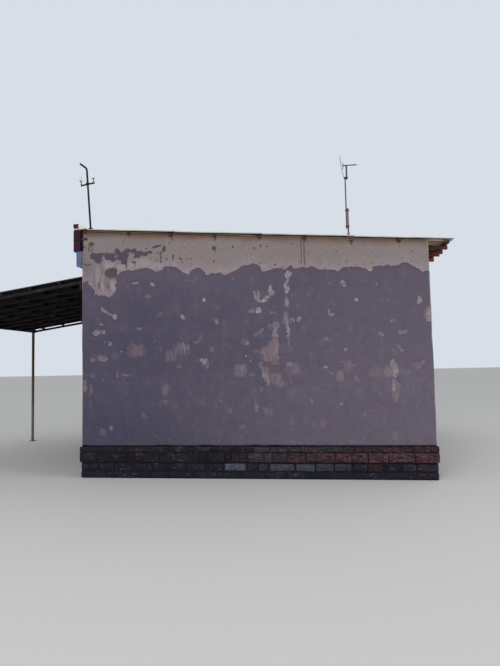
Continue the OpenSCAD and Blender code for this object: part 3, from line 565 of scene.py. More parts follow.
def mark_share(x, z, rows, soft):
    """How far inside the marks of a table each point lies, and how much the mark there shows. A
    mark is a box with round corners, by the sum of the 2.6th powers; it is 1 in the middle and
    falls off smoothly, from (1 - soft) to (1 + soft) of its size. Where marks meet the inner
    counts."""
    x, z = 100 * x, 100 * z
    best, much = np.zeros(x.shape), np.zeros(x.shape)
    for mark_x, mark_z, wide, high, lean, *tenths in rows:
        reach = 1.5 * (1 + soft) * max(wide, high) + 2
        near = (np.abs(x - mark_x) < reach) & (np.abs(z - mark_z) < reach)
        if not near.any():
            continue
        c, s = math.cos(math.radians(lean)), math.sin(math.radians(lean))
        dx, dz = x[near] - mark_x, z[near] - mark_z
        along, up = (dx * c + dz * s) / wide, (dz * c - dx * s) / high
        far = (np.abs(along) ** 2.6 + np.abs(up) ** 2.6) ** (1 / 2.6)
        inside = 1 - ease(1 - soft, 1 + soft, far)
        shows = tenths[0] / 10 if tenths else 1.0
        much[near] = np.where(inside >= best[near], shows, much[near])
        best[near] = np.maximum(best[near], inside)
    return best, much


def lump_sum(points, *parts):
    """Lumps of several sizes added up, each part given as its height, size and seed."""
    return sum(height * lumps(points, size, seed) for height, size, seed in parts)


# marks of the walls that no picture shows: where each starts and is whole in a sum of lumps
other_marks = (("pale", 0.9, 1.4, (1, 0.13, 41), (0.55, 0.05, 42), (0.5, 0.9, 43)),
               ("pink", 0.7, 1.25, (1, 0.3, 44), (0.6, 0.09, 45), (0.4, 1.2, 46)),
               ("warm", 0.65, 1.15, (1, 0.5, 47), (0.4, 0.12, 48)),
               ("island", 0.95, 1.05, (1, 0.1, 49), (0.5, 0.04, 50)),
               ("bright", 0.5, 1.2, (1, 0.25, 71), (0.6, 0.08, 72)))


def coat_masks(side, base):
    """How far each point lies under the dark coat's edge, and how much of each kind of mark shows
    there. On the front both come from the tables, shifted by lumps so that they look torn. On
    the other walls the edge and the marks are sums of lumps."""
    x, z = base[..., 0], base[..., 2]
    if side != "front":
        line = 3.02 + lump_sum(base * [1, 1, 0], (0.10, 0.55, 31), (0.05, 0.17, 32))
        line = line + 0.012 * lumps(base, 0.045, 3) + 0.008 * np.abs(lumps(base, 0.028, 4))
        masks = {name: ease(start, stop, lump_sum(base, *parts))
                 for name, start, stop, *parts in other_marks}
        masks.update(pale_much=0.75, pink_much=0.75, warm_much=0.75, drip=0.0)
        return line - 0.1 * (side in ("left", "back")) - z, masks
    line = np.interp(x + lump_sum(base, (0.012, 0.06, 5), (0.010, 0.03, 6)), edge_x, edge_z)
    line = line + 0.010 * lumps(base, 0.055, 3) + 0.012 * np.abs(lumps(base, 0.028, 4)) - 0.004
    ragged = 0.03 * lumps(base, 0.05, 8) - 0.05 * np.abs(lumps(base, 0.032, 9)) + 0.02
    line = line + (1 - ease(-2.15, -2.0, x)) * ragged
    near_x = x + lump_sum(base, (0.010, 0.07, 51), (0.012, 0.03, 53))
    near_z = z + lump_sum(base, (0.010, 0.07, 52), (0.012, 0.03, 54))
    masks = {}
    for name, rows, soft in (("pale", scraped_pale, 0.6), ("pink", rubbed_pink, 0.8),
                             ("warm", bared_mud, 0.6)):
        masks[name], masks[name + "_much"] = mark_share(near_x, near_z, rows, soft)
    masks["island"] = mark_share(near_x, near_z, dark_patches, 0.8)[0]
    masks["drip"] = np.prod(mark_share(near_x, near_z, brown_stains, 0.5), axis=0)
    masks["bright"] = np.prod(mark_share(x, z, bright_mud, 0.6), axis=0)
    return line - z, masks


# hairline cracks from the roof down: distance along the wall, height, lean and length
cracks = ((0.805, 3.57, -0.012, 0.44), (0.845, 3.57, 0.0, 0.46), (-2.475, 3.66, 0.02, 0.30))
PURLIN_FIRST, PURLIN_STEP = 0.761, 0.682


def weather_and_shade_masks(side, base, low, roof_gap):
    """Dirt and a dark painted shadow under the roof, a near-black painted shadow line over the plinth,
    cracks, drips below the purlins' ends, and how light the dark coat is: on the front a painted
    shade that leaves it lighter to the right and darker at the left foot."""
    x, z = base[..., 0], base[..., 2]
    gap_low = roof_gap + lump_sum(base, (0.015, 0.22, 62), (0.01, 0.05, 63))
    gap_top = roof_gap + 0.006 * lumps(base, 0.09, 67)
    damp_top = 0.008 + 0.030 * ease(0.1, 0.9, lumps(base * [1, 1, 0], 0.33, 68))
    # stain: brown dirt under the roof; top: a painted shadow, a dark band just under the roof; foot: a
    # painted shadow line along the coat's foot
    masks = {"stain": (1 - ease(-0.02, 0.17, gap_low)) * (1 - 0.25 * ease(-1.5, 1.5, x)),
             "top": (1 - 0.75 * ease(-0.6, 0.9, x)) * (1 - ease(0.012, 0.034, gap_top)),
             "foot": 1 - ease(0, damp_top, z - low)}
    drip, crack = np.zeros(z.shape), np.zeros(z.shape)
    if side in ("front", "back"):
        for k in range(7):
            drip_x = LEFT + PURLIN_FIRST + PURLIN_STEP * k + 0.008
            fall = 0.06 + 0.10 * abs(math.sin(2.1 * k + 0.4))
            near = 1 - ease(0.004, 0.034, np.abs(x - drip_x + 0.006 * lumps(base, 0.05, 66)))
            drip = np.maximum(drip, near * (1 - ease(0.3 * fall, fall, roof_gap)))
    shade = 0.38 + 0.14 * lumps(base, 1.3, 65)
    if side == "front":
        for start_x, start_z, lean, reach in cracks:
            away = np.abs(x - start_x - (start_z - z) * lean - 0.004 * lumps(base, 0.06, 61))
            end_z = start_z - reach
            along = ease(end_z, end_z + 0.05, z) * (1 - ease(start_z, start_z + 0.02, z))
            crack = np.maximum(crack, (1 - ease(0.005, 0.018, away)) * along)
        # painted shade on the front: darker to the left and most at the left foot, lighter to the right
        damp_foot = (1 - ease(0.5, 1.4, z)) * (1 - ease(-2.6, 0.6, x))
        shade = 0.36 + (0.15 - 0.037 * z) * x + 0.065 * (1 - ease(1.3, 2.1, z)) - 0.2 * damp_foot
        shade = shade + 0.05 * lumps(base, 0.8, 64)
    return {**masks, "crack": crack, "shade": np.clip(shade, 0, 1)}, drip


def render_skin(side, step, openings=()):
    """The plastered face of one wall as a grid of (distance along, height) pushed outwards by
    PROUD plus the coat's thickness plus four sizes of lumps. The rows run from the plinth to the
    roof plane, and the rim dips back into the wall. Cells inside an opening are left out and the
    points on its rim pulled to the reveal's edge."""
    u, foot, outward = corner_walk(side, step)
    for edge in (edge for opening in openings for edge in opening[:2]):
        near = np.argmin(np.abs(u - edge))
        run = foot[near + 1] - foot[near - 1]
        foot[near] += (edge - u[near]) * run / (np.linalg.norm(run) or 1)
        u[near] = edge
    top = roof_at(foot[:, 0]) - 0.002
    low = PLINTH_TOP - COAT_HANG
    z = low + np.linspace(0, 1, int(3.1 / step) + 1) * (top - low)[:, None]
    for edge in sorted({edge for opening in openings for edge in opening[2:]}):
        z[:, np.argmin(np.abs(z[len(z) // 2] - edge))] = edge
    base = np.concatenate([np.broadcast_to(foot[:, None], z.shape + (2,)), z[..., None]], -1)
    under, masks = coat_masks(side, base)
    coated = ease(-0.008, 0.008, under)
    relief = lump_sum(base, (0.0030, 0.55, 21), (0.0022, 0.2, 22), (0.0010, 0.07, 23), (0.0004, 0.03, 24))
    worn = np.maximum(masks["pale"], 0.5 * masks["pink"])
    push = PROUD + relief + 0.0035 * coated * (1 - 0.8 * worn) + 0.003 * masks["island"] * (1 - coated)
    roof_gap = top[:, None] - z
    rim = np.minimum(ease(0, 0.018, z - low), ease(0, 0.02, roof_gap))
    keep = np.ones((len(u) - 1, z.shape[1] - 1), bool)
    mid_u, mid_z = ((u[:-1] + u[1:]) / 2)[:, None], (z[:, :-1] + z[:, 1:]) / 2
    mid_z = (mid_z[:-1] + mid_z[1:]) / 2
    for low_u, high_u, low_z, high_z in openings:
        gap = np.maximum(np.maximum(low_u - u, u - high_u)[:, None], np.maximum(low_z - z, z - high_z))
        rim = np.minimum(rim, ease(-0.001, 0.035, gap))
        keep &= ~((mid_u > low_u) & (mid_u < high_u) & (mid_z > low_z) & (mid_z < high_z))
    base[..., :2] += (push * rim - 0.003 * (1 - rim))[..., None] * outward[:, None, :]
    faces = net(*z.shape)[keep]
    used = np.zeros(z.size, bool)
    used[faces.ravel()] = True
    thing = new_mesh(side + "_render", base.reshape(-1, 3)[used], [(np.cumsum(used) - 1)[faces]])
    weathered_and_shaded, drip = weather_and_shade_masks(side, base, low, roof_gap)
    masks.update(weathered_and_shaded, under=np.clip(under, -1, 1), drip=np.maximum(drip, masks["drip"]))
    carry(thing, **{name: np.broadcast_to(values, z.shape).ravel()[used] for name, values in masks.items()})
    return thing


def wall_finish():
    """The two coats as one look. Its masks are the marks that the mesh carries, roughened by fine
    noise so that an edge between grid points still looks torn."""
    look = Look("mud render", 0.95)
    fine = look.grain(0.014, 7, rough=0.68)
    clot = look.grain(0.05, 5, rough=0.6)
    cloud = look.grain(0.3, 5, rough=0.6)
    streak = look.grain(0.05, 5, (1, 1, 0.12), 0.6)
    brushed = look.grain(0.03, 4, (0.15, 0.15, 1), 0.6)
    crumb = look.grain(0.026, 6, (1, 1, 0.7), 0.75)
    patch = look.grain(0.11, 6, (1, 1, 0.75), 0.62)
    drawn = look.band(look.grain(0.022, 4, (1, 1, 0.16)), 0.38, 0.60, 0.35, 1.0)
    rough = look.plus(look.times(look.plus(crumb, -0.5), 2.6), look.times(look.plus(clot, -0.5), 1.2))

    def torn(name, start, stop, most=1.0):
        """A mark's strength, broken up by the noise in proportion to itself."""
        return look.times(name, look.plus(rough, 1.0)), start, stop, 0.0, most

    def shown(name, start, stop):
        """A torn mark by how much of it shows; the weak ones are held back."""
        return look.times(torn(name, start, stop), look.step("POWER", name + "_much", 1.7))

    upper = look.over(look.mix((cloud, 0.36, 0.66), (129, 117, 112), (124, 116, 120)),
                      # these two darken the upper coat towards the left as shade falls: painted shade
                      (("shade", 0.47, 0.28, 0.1, 0.52), (110, 101, 100)),
                      (("shade", 0.36, 0.29, 0.0, 0.6), (98, 93, 99)),
                      (("under", -0.20, -0.03, 0.0, 0.5), (136, 124, 130)),
                      (("bright", 0.1, 0.9, 0.0, 0.75), (142, 131, 134)),
                      ((clot, 0.45, 0.68, 0.0, 0.3), (108, 98, 97)),
                      ((fine, 0.62, 0.74, 0.0, 0.5), (100, 84, 80)),
                      (("stain", 0.0, 1.0, 0.0, 0.9), (92, 64, 40)),
                      # top: a painted shadow just under the roof
                      (("top", 0.2, 0.9, 0.0, 0.85), (46, 38, 38)))
    # lit: how light the painted shade leaves the coat; it scales some marks below
    lit = look.band("shade", 0.1, 0.55, 0.22, 0.9)
    under = look.plus("under", look.times(rough, 0.014))
    faint = look.times((clot, 0.58, 0.70), (crumb, 0.42, 0.6))
    # lip: a painted shadow, a thin dark band just below the dark coat's upper edge
    lip = look.times((under, -0.003, 0.001), (under, 0.018, 0.005))
    # the dark coat's colours hold a painted blue cast of skylight and follow shade, a painted shade
    lower = look.over(look.mix(("shade", 0.0, 0.85), (64, 62, 79), (98, 90, 103)),
                      ((streak, 0.45, 0.75, 0.0, 0.10), (104, 95, 104)),
                      ((brushed, 0.45, 0.7, 0.0, 0.14), (74, 68, 80)),
                      (look.times(lit, (cloud, 0.45, 0.62, 0.0, 0.45)), (95, 81, 91)),
                      ((clot, 0.52, 0.70, 0.0, 0.16), (76, 70, 80)),
                      ((patch, 0.45, 0.35, 0.0, 0.25), (70, 65, 79)),
                      (look.times(lit, (patch, 0.55, 0.64, 0.0, 0.3)), (112, 104, 116)),
                      (look.times(faint, 0.42), (120, 112, 121)),
                      (look.times(shown("pink", 0.22, 0.62), drawn), (110, 95, 104)),
                      (look.times(shown("warm", 0.30, 0.60), drawn), (120, 105, 110)),
                      (look.times((under, 0.075, 0.02), (cloud, 0.42, 0.56, 0.15, 0.8)), (88, 72, 82)),
                      (look.times(lip, (clot, 0.38, 0.58, 0.3, 0.85)), (72, 55, 65)))
    above = look.band(under, 0.006, -0.006)
    pitted = look.times((clot, 0.60, 0.66), (fine, 0.50, 0.56))
    bare = look.mix((crumb, 0.34, 0.62), (102, 94, 102), (147, 137, 142))
    dark = look.mix(clot, (66, 57, 68), (84, 76, 88))
    foot = look.plus("foot", look.times(rough, 0.4))
    colour = look.over(look.mix((under, -0.0015, 0.0015), upper, lower),
                       (shown("pale", 0.26, 0.62), bare),
                       (look.times(torn("island", 0.42, 0.52), above), dark),
                       (look.times(pitted, look.times(above, 0.75)), (84, 68, 68)),
                       (("crack", 0.3, 0.8, 0.0, 0.75), (88, 66, 62)),
                       (torn("drip", 0.2, 0.7, 0.8), (74, 52, 40)),
                       # foot: a near-black painted shadow line along the coat's foot
                       ((foot, 0.45, 0.7, 0.0, 0.94), (11, 9, 15)))
    bumps = look.plus(look.plus(fine, look.grain(0.006)), look.times(look.plus(streak, brushed), 0.8))
    look.coat(colour, bumps, 0.0022, 0.5)
    return look


mud_render = wall_finish()
WINDOWS = ((0.75, 1.57), (3.60, 4.42))
SILL_Z, HEAD_Z, DOOR_FOOT, DOOR_HEAD = 1.230, 2.280, 0.258, 2.278
left_gaps = [(DEPTH - DOOR_FAR, DEPTH - DOOR_NEAR, 0.0, DOOR_HEAD)]
left_gaps += [(DEPTH - stop, DEPTH - start, SILL_Z, HEAD_Z) for start, stop in WINDOWS]
inner_render = speckled("limewashed inner face", 0.93, (0.3, 5), (0.35, 0.68), (142, 132, 122),
                         (118, 108, 100), (0.012, 5, 0.003, 0.5))
for side, step, gaps in (("front", 0.0131, ()), ("right", 0.026, ()), ("back", 0.026, ()),
                         ("left", 0.026, left_gaps)):
    dress(render_skin(side, step, gaps), mud_render, "render")
    paint(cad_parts["wall_" + side], inner_render)


# Floor: an earth slab screeded with cement, level with the door's threshold.
screed = speckled("cement screed", 0.85, (0.35, 5), (0.35, 0.65), (112, 106, 98), (88, 82, 76),
                  (0.01, 5, 0.002, 0.4))
paint(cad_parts["floor"], screed)


# Damp course: a strip of roofing felt laid on the plinth under the mud render. Its black edge
# hangs out by a finger's width, torn, curled and in places gone.
FELT_Z = PLINTH_TOP - COAT_HANG - 0.008
felt_black = speckled("roofing felt", 0.8, (0.03, 5), (0.4, 0.65), (7, 6, 11), (18, 16, 22),
                      (0.006, 5, 0.002, 0.6))
for side in dict(SIDES):
    walk, foot, outward = corner_walk(side, 0.02)
    edge_line = np.concatenate([foot, np.full((len(foot), 1), PLINTH_TOP)], 1)
    hang = 0.016 + lump_sum(edge_line, (0.007, 0.21, 81), (0.006, 0.05, 82))
    lift = 0.006 + 0.020 * ease(0.0, 0.9, lump_sum(edge_line, (1, 0.33, 83), (0.4, 0.06, 84)))
    if side == "left":
        hang[(walk > DEPTH - DOOR_FAR - 0.01) & (walk < DEPTH - DOOR_NEAR + 0.01)] = -0.02
    hang, none = np.clip(hang, -0.02, 0.026), 0 * lift
    out = np.stack([none - 0.012, hang - 0.002, hang, hang - 0.003, none - 0.012], 1)
    rise = np.stack([none - 0.002, none - 0.001, 0.4 * lift, lift, lift + 0.004], 1)
    flat = foot[:, None] + out[..., None] * outward[:, None]
    strip = np.concatenate([flat, (FELT_Z + rise)[..., None]], -1)
    dress(carried("felt_edge_" + side, strip[None], False), felt_black, "render")


# Lintels, door and windows of the left wall: rough sawn lintels, a ledged plank door and two fixed
# casements in painted softwood frames, with cement sills that throw the water off the wall.
FRAME_X, FRAME_DEEP, FRAME_WIDE = LEFT + 0.060, 0.090, 0.065
LINTEL_REST, LINTEL_HIGH = 0.18, 0.08
LEAF_THICK, LEAF_SIDE = 0.036, 0.054
UP_GRAIN, X_GRAIN, Y_GRAIN = (1, 1, 0.06), (0.06, 1, 1), (1, 0.06, 1)


def timber(name, dry, wet, along, dark=None):
    """Wood between two colours: noise drawn out along the stick, darker in its furrows, with a
    wide cloud of weather over it. `along` holds the stretch of the noise on each axis; sticks of
    a high tone go towards `dark`."""
    look = Look(name, 0.85)
    fibre = look.grain(0.018, 6, along, 0.6)
    body = look.over(look.mix((fibre, 0.36, 0.64), wet, dry), (("tone", 0.0, 1.0, 0.0, 0.35), wet))
    if dark is not None:
        body = look.mix(("tone", 0.45, 1.0, 0.0, 0.9), body, dark)
    body = look.mix((look.grain(0.25), 0.5, 0.72, 0.0, 0.45), body, (70, 62, 56))
    look.coat(body, fibre, 0.003, 0.6)
    return look


def painted(name, fresh, faded, bare, along, worn=0.62, rough=0.6):
    """Old oil paint on wood: clouds between two paints, thin cracks along the wood, and bare
    wood where a fine and a wide noise together pass `worn`."""
    look = Look(name, rough)
    fibre = look.grain(0.012, 6, along, 0.6)
    wear = look.plus(look.times(look.grain(0.06, 6), 0.6), look.times(fibre, 0.45))
    chip = look.band(wear, worn, worn + 0.03)
    body = look.over(look.mix((look.grain(0.3), 0.35, 0.65), fresh, faded),
                     (("tone", 0.0, 1.0, 0.0, 0.3), faded), (chip, bare))
    look.coat(body, look.step("SUBTRACT", fibre, chip), 0.0015, 0.5)
    return look


def frame_bars(start, stop, foot, head, sill):
    """The stiles, head and sill bar of a frame as boxes."""
    x0, x1 = FRAME_X, FRAME_X + FRAME_DEEP
    inner, outer = start + FRAME_WIDE, stop - FRAME_WIDE
    bars = [((x0, start, foot), (x1, inner, head)), ((x0, outer, foot), (x1, stop, head)),
            ((x0, inner - 0.001, head - FRAME_WIDE), (x1, outer + 0.001, head)),
            ((x0, inner - 0.001, foot), (x1, outer + 0.001, foot + FRAME_WIDE))]
    return bars if sill else bars[:-1]


rough_sawn = timber("rough sawn lintel wood", (122, 98, 74), (78, 60, 46), Y_GRAIN)
door_paint = painted("faded blue door paint", (96, 116, 134), (122, 136, 146), (112, 92, 72), UP_GRAIN)
frame_paint = painted("frame paint", (104, 122, 138), (134, 144, 150), (118, 98, 78), UP_GRAIN)
heads = [(DOOR_NEAR, DOOR_FAR, DOOR_HEAD)] + [(start, stop, HEAD_Z) for start, stop in WINDOWS]
boxes = [((LEFT + a, start - LINTEL_REST, head), (LEFT + b, stop + LINTEL_REST, head + LINTEL_HIGH))
         for start, stop, head in heads for a, b in ((0.020, 0.139), (0.141, 0.259), (0.261, 0.380))]
dress(blocks("lintel_planks", boxes, 0.006, 0.0015, 21), rough_sawn, "old_timber", "lintels")

boxes = frame_bars(DOOR_NEAR, DOOR_FAR, DOOR_FOOT, DOOR_HEAD, False)
dress(blocks("door_case", boxes, 0.004, 0.0004, 22), frame_paint, "painted_timber", "door_frame")
leaf_x, leaf_y0, leaf_y1 = FRAME_X + FRAME_DEEP - LEAF_THICK, DOOR_NEAR + LEAF_SIDE, DOOR_FAR - LEAF_SIDE
leaf_z0, leaf_z1 = DOOR_FOOT + 0.003, DOOR_HEAD - LEAF_SIDE
cuts = np.linspace(leaf_y0, leaf_y1, 7)
boxes = [((leaf_x, a + 0.0012, leaf_z0), (leaf_x + 0.022, b - 0.0012, leaf_z1))
         for a, b in zip(cuts[:-1], cuts[1:])]
boxes += [((leaf_x + 0.020, leaf_y0 + 0.03, z), (leaf_x + LEAF_THICK, leaf_y1 - 0.03, z + 0.13))
          for z in (leaf_z0 + 0.14, leaf_z0 + 0.9, leaf_z1 - 0.26)]
dress(blocks("door_planks", boxes, 0.003, 0.0006, 23), door_paint, "painted_timber", "door_leaf")

# strap hinges with their knuckles, then the latch's plate, its grip and the grip's two feet
dark_iron = speckled("dark iron", 0.6, (0.02, 6), (0.4, 0.62), (58, 52, 50), (96, 62, 44),
                     (0.006, 5, 0.001, 0.5), metal=0.35)
boxes = []
for z in (leaf_z0 + 0.19, leaf_z1 - 0.21):
    boxes += [((-0.004, leaf_y0 - 0.028, z - 0.018), (0.001, leaf_y0 + 0.46, z + 0.018)),
              ((-0.010, leaf_y0 - 0.010, z - 0.045), (0.001, leaf_y0 + 0.004, z + 0.045))]
for x0, x1, y0, y1, z0, z1 in ((-0.004, 0.001, -0.10, -0.045, 0.98, 1.18),
                               (-0.030, -0.018, -0.082, -0.064, 1.03, 1.16),
                               (-0.024, -0.002, -0.080, -0.066, 1.03, 1.045),
                               (-0.024, -0.002, -0.080, -0.066, 1.145, 1.16)):
    boxes.append(((x0, leaf_y1 + y0, DOOR_FOOT + z0), (x1, leaf_y1 + y1, DOOR_FOOT + z1)))
dress(blocks("door_straps", np.array(boxes) + [leaf_x, 0, 0], 0.003, 0.0003, 24), dark_iron, "rusty_steel")

pane = Look("old window glass", 0.08, specular=0.5)
pane.shader.inputs["Base Color"].default_value = (0.55, 0.62, 0.62, 1)
pane.shader.inputs["Transmission Weight"].default_value = 0.9
pane.emboss(pane.grain(0.16, 2), 0.002, 0.2)
for number, (start, stop) in enumerate(WINDOWS, 1):
    boxes = frame_bars(start, stop, SILL_Z, HEAD_Z, True)
    case = blocks("window_case_%d" % number, boxes, 0.004, 0.0004, 24 + number)
    dress(case, frame_paint, "painted_timber", "window_frame_%d" % number)
    y0, y1, z0, z1 = start + FRAME_WIDE, stop - FRAME_WIDE, SILL_Z + FRAME_WIDE, HEAD_Z - FRAME_WIDE
    mid = (start + stop) / 2
    boxes = []
    for x0, x1 in ((FRAME_X + 0.022, FRAME_X + 0.042), (FRAME_X + 0.048, FRAME_X + 0.066)):
        uprights = (y0 - 0.001, y0 + 0.030), (y1 - 0.030, y1 + 0.001), (mid - 0.024, mid + 0.024)
        levels = (z0 - 0.001, z0 + 0.034), (z1 - 0.032, z1 + 0.001), (z1 - 0.32, z1 - 0.292)
        boxes += [((x0, a, z0 - 0.001), (x1, b, z1 + 0.001)) for a, b in uprights]
        halves = (y0 + 0.028, mid - 0.022), (mid + 0.022, y1 - 0.028)
        boxes += [((x0, a, c), (x1, b, d)) for c, d in levels for a, b in halves]
    dress(blocks("sash_bars_%d" % number, boxes, 0.003, 0.0003, 26 + number), frame_paint, "painted_timber")
    paint(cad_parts["window_glass_%d" % number], pane)
cement = speckled("cement sill", 0.9, (0.06, 6), (0.35, 0.65), (132, 128, 122), (98, 92, 88),
                  (0.008, 5, 0.002, 0.5))
boxes = [((LEFT - 0.045, start + 0.002, SILL_Z), (LEFT + 0.060, stop - 0.002, SILL_Z + 0.022))
         for start, stop in WINDOWS]
dress(blocks("cement_sills", boxes, 0.006, 0.0010, 29), cement, "sill", "window_sills")


# Roof timber: wall plates on the side walls, squared rafters over them from eave to eave, and
# purlins across the rafters. The purlin ends show in the front verge, the rafter tails past the
# right wall. All of it is old sawn softwood, never painted.
ROOF_TILT = math.atan(slope)
ROOF_LENGTH = (RIGHT - LEFT) / math.cos(ROOF_TILT)
PURLIN_WIDE, PURLIN_HIGH, PURLIN_OUT = 0.062, 0.048, 0.027
RAFTER_HIGH, TAIL_OUT, PLATE_WIDE, PLATE_HIGH = 0.060, 0.305, 0.14, 0.07


def tilted(origin=(0, 0, 0), angle=0.0):
    """A way to set points in the house: they are turned by the angle in the x-z plane, to
    x cos - z sin and x sin + z cos, and moved by the origin."""
    c, s = math.cos(angle), math.sin(angle)

    def place(points):
        """The points, turned and moved."""
        x, y, z = np.moveaxis(np.asarray(points), -1, 0)
        return np.stack([origin[0] + x * c - z * s, origin[1] + y, origin[2] + x * s + z * c], -1)

    return place


def sticks(name, boxes, seed, place, axis, wander=0.0025, arris=0.005):
    """Sawn sticks lying along one axis of a frame: a rectangle with three points at each rounded
    corner is carried along each, and slow sine waves of up to `wander` shift its four sides. A
    smaller first and last ring round off the ends."""
    boxes = np.asarray(boxes, float)
    lows, highs = boxes[:, 0], boxes[:, 1]
    rng = np.random.default_rng(seed)
    long = (highs - lows)[:, axis, None]
    t = np.linspace(0, 1, max(int(long.max() / 0.22), 4))
    t = np.concatenate([[0, 0], t[1:-1], [1, 1]])
    inset, shrink = np.zeros(len(t)), np.ones(len(t))
    inset[[1, -2]] = 0.004, -0.004
    shrink[[0, -1]] = 0.86
    s = lows[:, axis, None] + long * t + inset
    across = [k for k in range(3) if k != axis]
    half, middle = ((highs - lows) / 2)[:, across], ((highs + lows) / 2)[:, across]
    turn = np.radians([0, 45, 90, 90, 135, 180, 180, 225, 270, 270, 315, 360])
    corner = np.repeat([(1.0, 1.0), (-1.0, 1.0), (-1.0, -1.0), (1.0, -1.0)], 3, axis=0)
    ring = corner * (half[:, None] - arris) + arris * np.stack([np.cos(turn), np.sin(turn)], -1)
    phase = rng.uniform(0, 6.28, (len(lows), 4, 2))[:, None]
    slow, quick = np.sin(s[:, :, None] * 2.1 + phase[..., 0]), np.sin(s[:, :, None] * 7.3 + phase[..., 1])
    swing = wander * (0.6 * slow + 0.4 * quick) - wander
    sections = np.zeros((len(lows), len(t), 12, 3))
    sections[..., axis] = s[:, :, None]
    for k, direction in enumerate(across):
        shift = np.where(corner[:, k] > 0, swing[:, :, 2 * k, None], -swing[:, :, 2 * k + 1, None])
        flat = middle[:, None, None, k] + ring[:, None, :, k] * shrink[:, None]
        sections[..., direction] = flat + shift
    thing = carried(name, place(sections))
    carry(thing, tone=rng.uniform(0, 1, len(lows)))
    return thing


def across_slope(distance):
    """Distance down the slope of what lies this far from the left wall's face."""
    return distance / math.cos(ROOF_TILT)


on_roof, as_is = tilted((LEFT, 0, EAVE_HIGH), -ROOF_TILT), tilted()
purlin_wood = timber("old purlin wood", (78, 58, 48), (46, 34, 32), Y_GRAIN)
# rafter wood: its orange is partly a painted light and its dark a painted shade
rafter_wood = timber("rafter wood with painted light and shade", (150, 76, 54), (104, 54, 42), X_GRAIN, (56, 40, 40))
purlins = [across_slope(PURLIN_FIRST + PURLIN_STEP * i) - PURLIN_WIDE / 2 for i in range(7)]
purlins += [0.014, ROOF_LENGTH + 0.235]
boxes = [((s, -PURLIN_OUT, -PURLIN_HIGH), (s + PURLIN_WIDE, DEPTH + PURLIN_OUT, 0.0)) for s in purlins]
dress(sticks("roof_purlins", boxes, 31, on_roof, 1), purlin_wood, "old_timber", "purlins")
rafters = [0.122, 0.418, 0.620] + [1.015 + 0.61 * i for i in range(7)] + [5.530, 5.828]
rafter_foot = -PURLIN_HIGH - RAFTER_HIGH
boxes = [((-0.098, y, rafter_foot), (ROOF_LENGTH + TAIL_OUT, y + 0.05, -PURLIN_HIGH)) for y in rafters]
rafter_sticks = sticks("roof_rafters", boxes, 32, on_roof, 0)
# the two nearest rafters take the dark, a painted shade on their tails, and the next two take the orange, a
# painted light
carry(rafter_sticks, tone=[1.0, 0.85, 0.15, 0.0, 0.5, 0.2, 0.6, 0.3, 0.8, 0.4, 0.7, 0.9])
dress(rafter_sticks, rafter_wood, "old_timber", "rafters")
drop = across_slope(PURLIN_HIGH + RAFTER_HIGH) + PLATE_HIGH
boxes = []
for x in (LEFT + 0.06, RIGHT - 0.20):
    z = roof_at(x + PLATE_WIDE) - drop
    boxes.append(((x, WALL_THICK, z), (x + PLATE_WIDE, DEPTH - WALL_THICK, z + PLATE_HIGH)))
plates = sticks("wall_plates", boxes, 33, as_is, 1, 0.0015)
dress(plates, purlin_wood, "old_timber", "plate_left", "plate_right")


# Roof sheets: four rows of corrugated fibre-cement sheets, each eight waves wide, laid from the
# low side up. Each sheet laps one wave over its neighbour and 150 mm over the row below, and is
# nailed through the wave tops into every purlin with a domed washer under each head.
SHEET_THICK, WAVE, ROOF_WAVE_HIGH, VERGE, LAP = 0.0065, 0.150, 0.033, 0.038, 0.15
ROW_PITCH = across_slope(2 * PURLIN_STEP)
ROW_TILT = math.atan(0.0075 / ROW_PITCH)
ROW_2 = across_slope(PURLIN_FIRST + PURLIN_STEP) + 0.05 - LAP


def waves(along, high):
    """Height of a corrugated sheet's underside: half the wave height times 1 - cos."""
    return high / 2 * (1 - np.cos(2 * np.pi * along / WAVE))


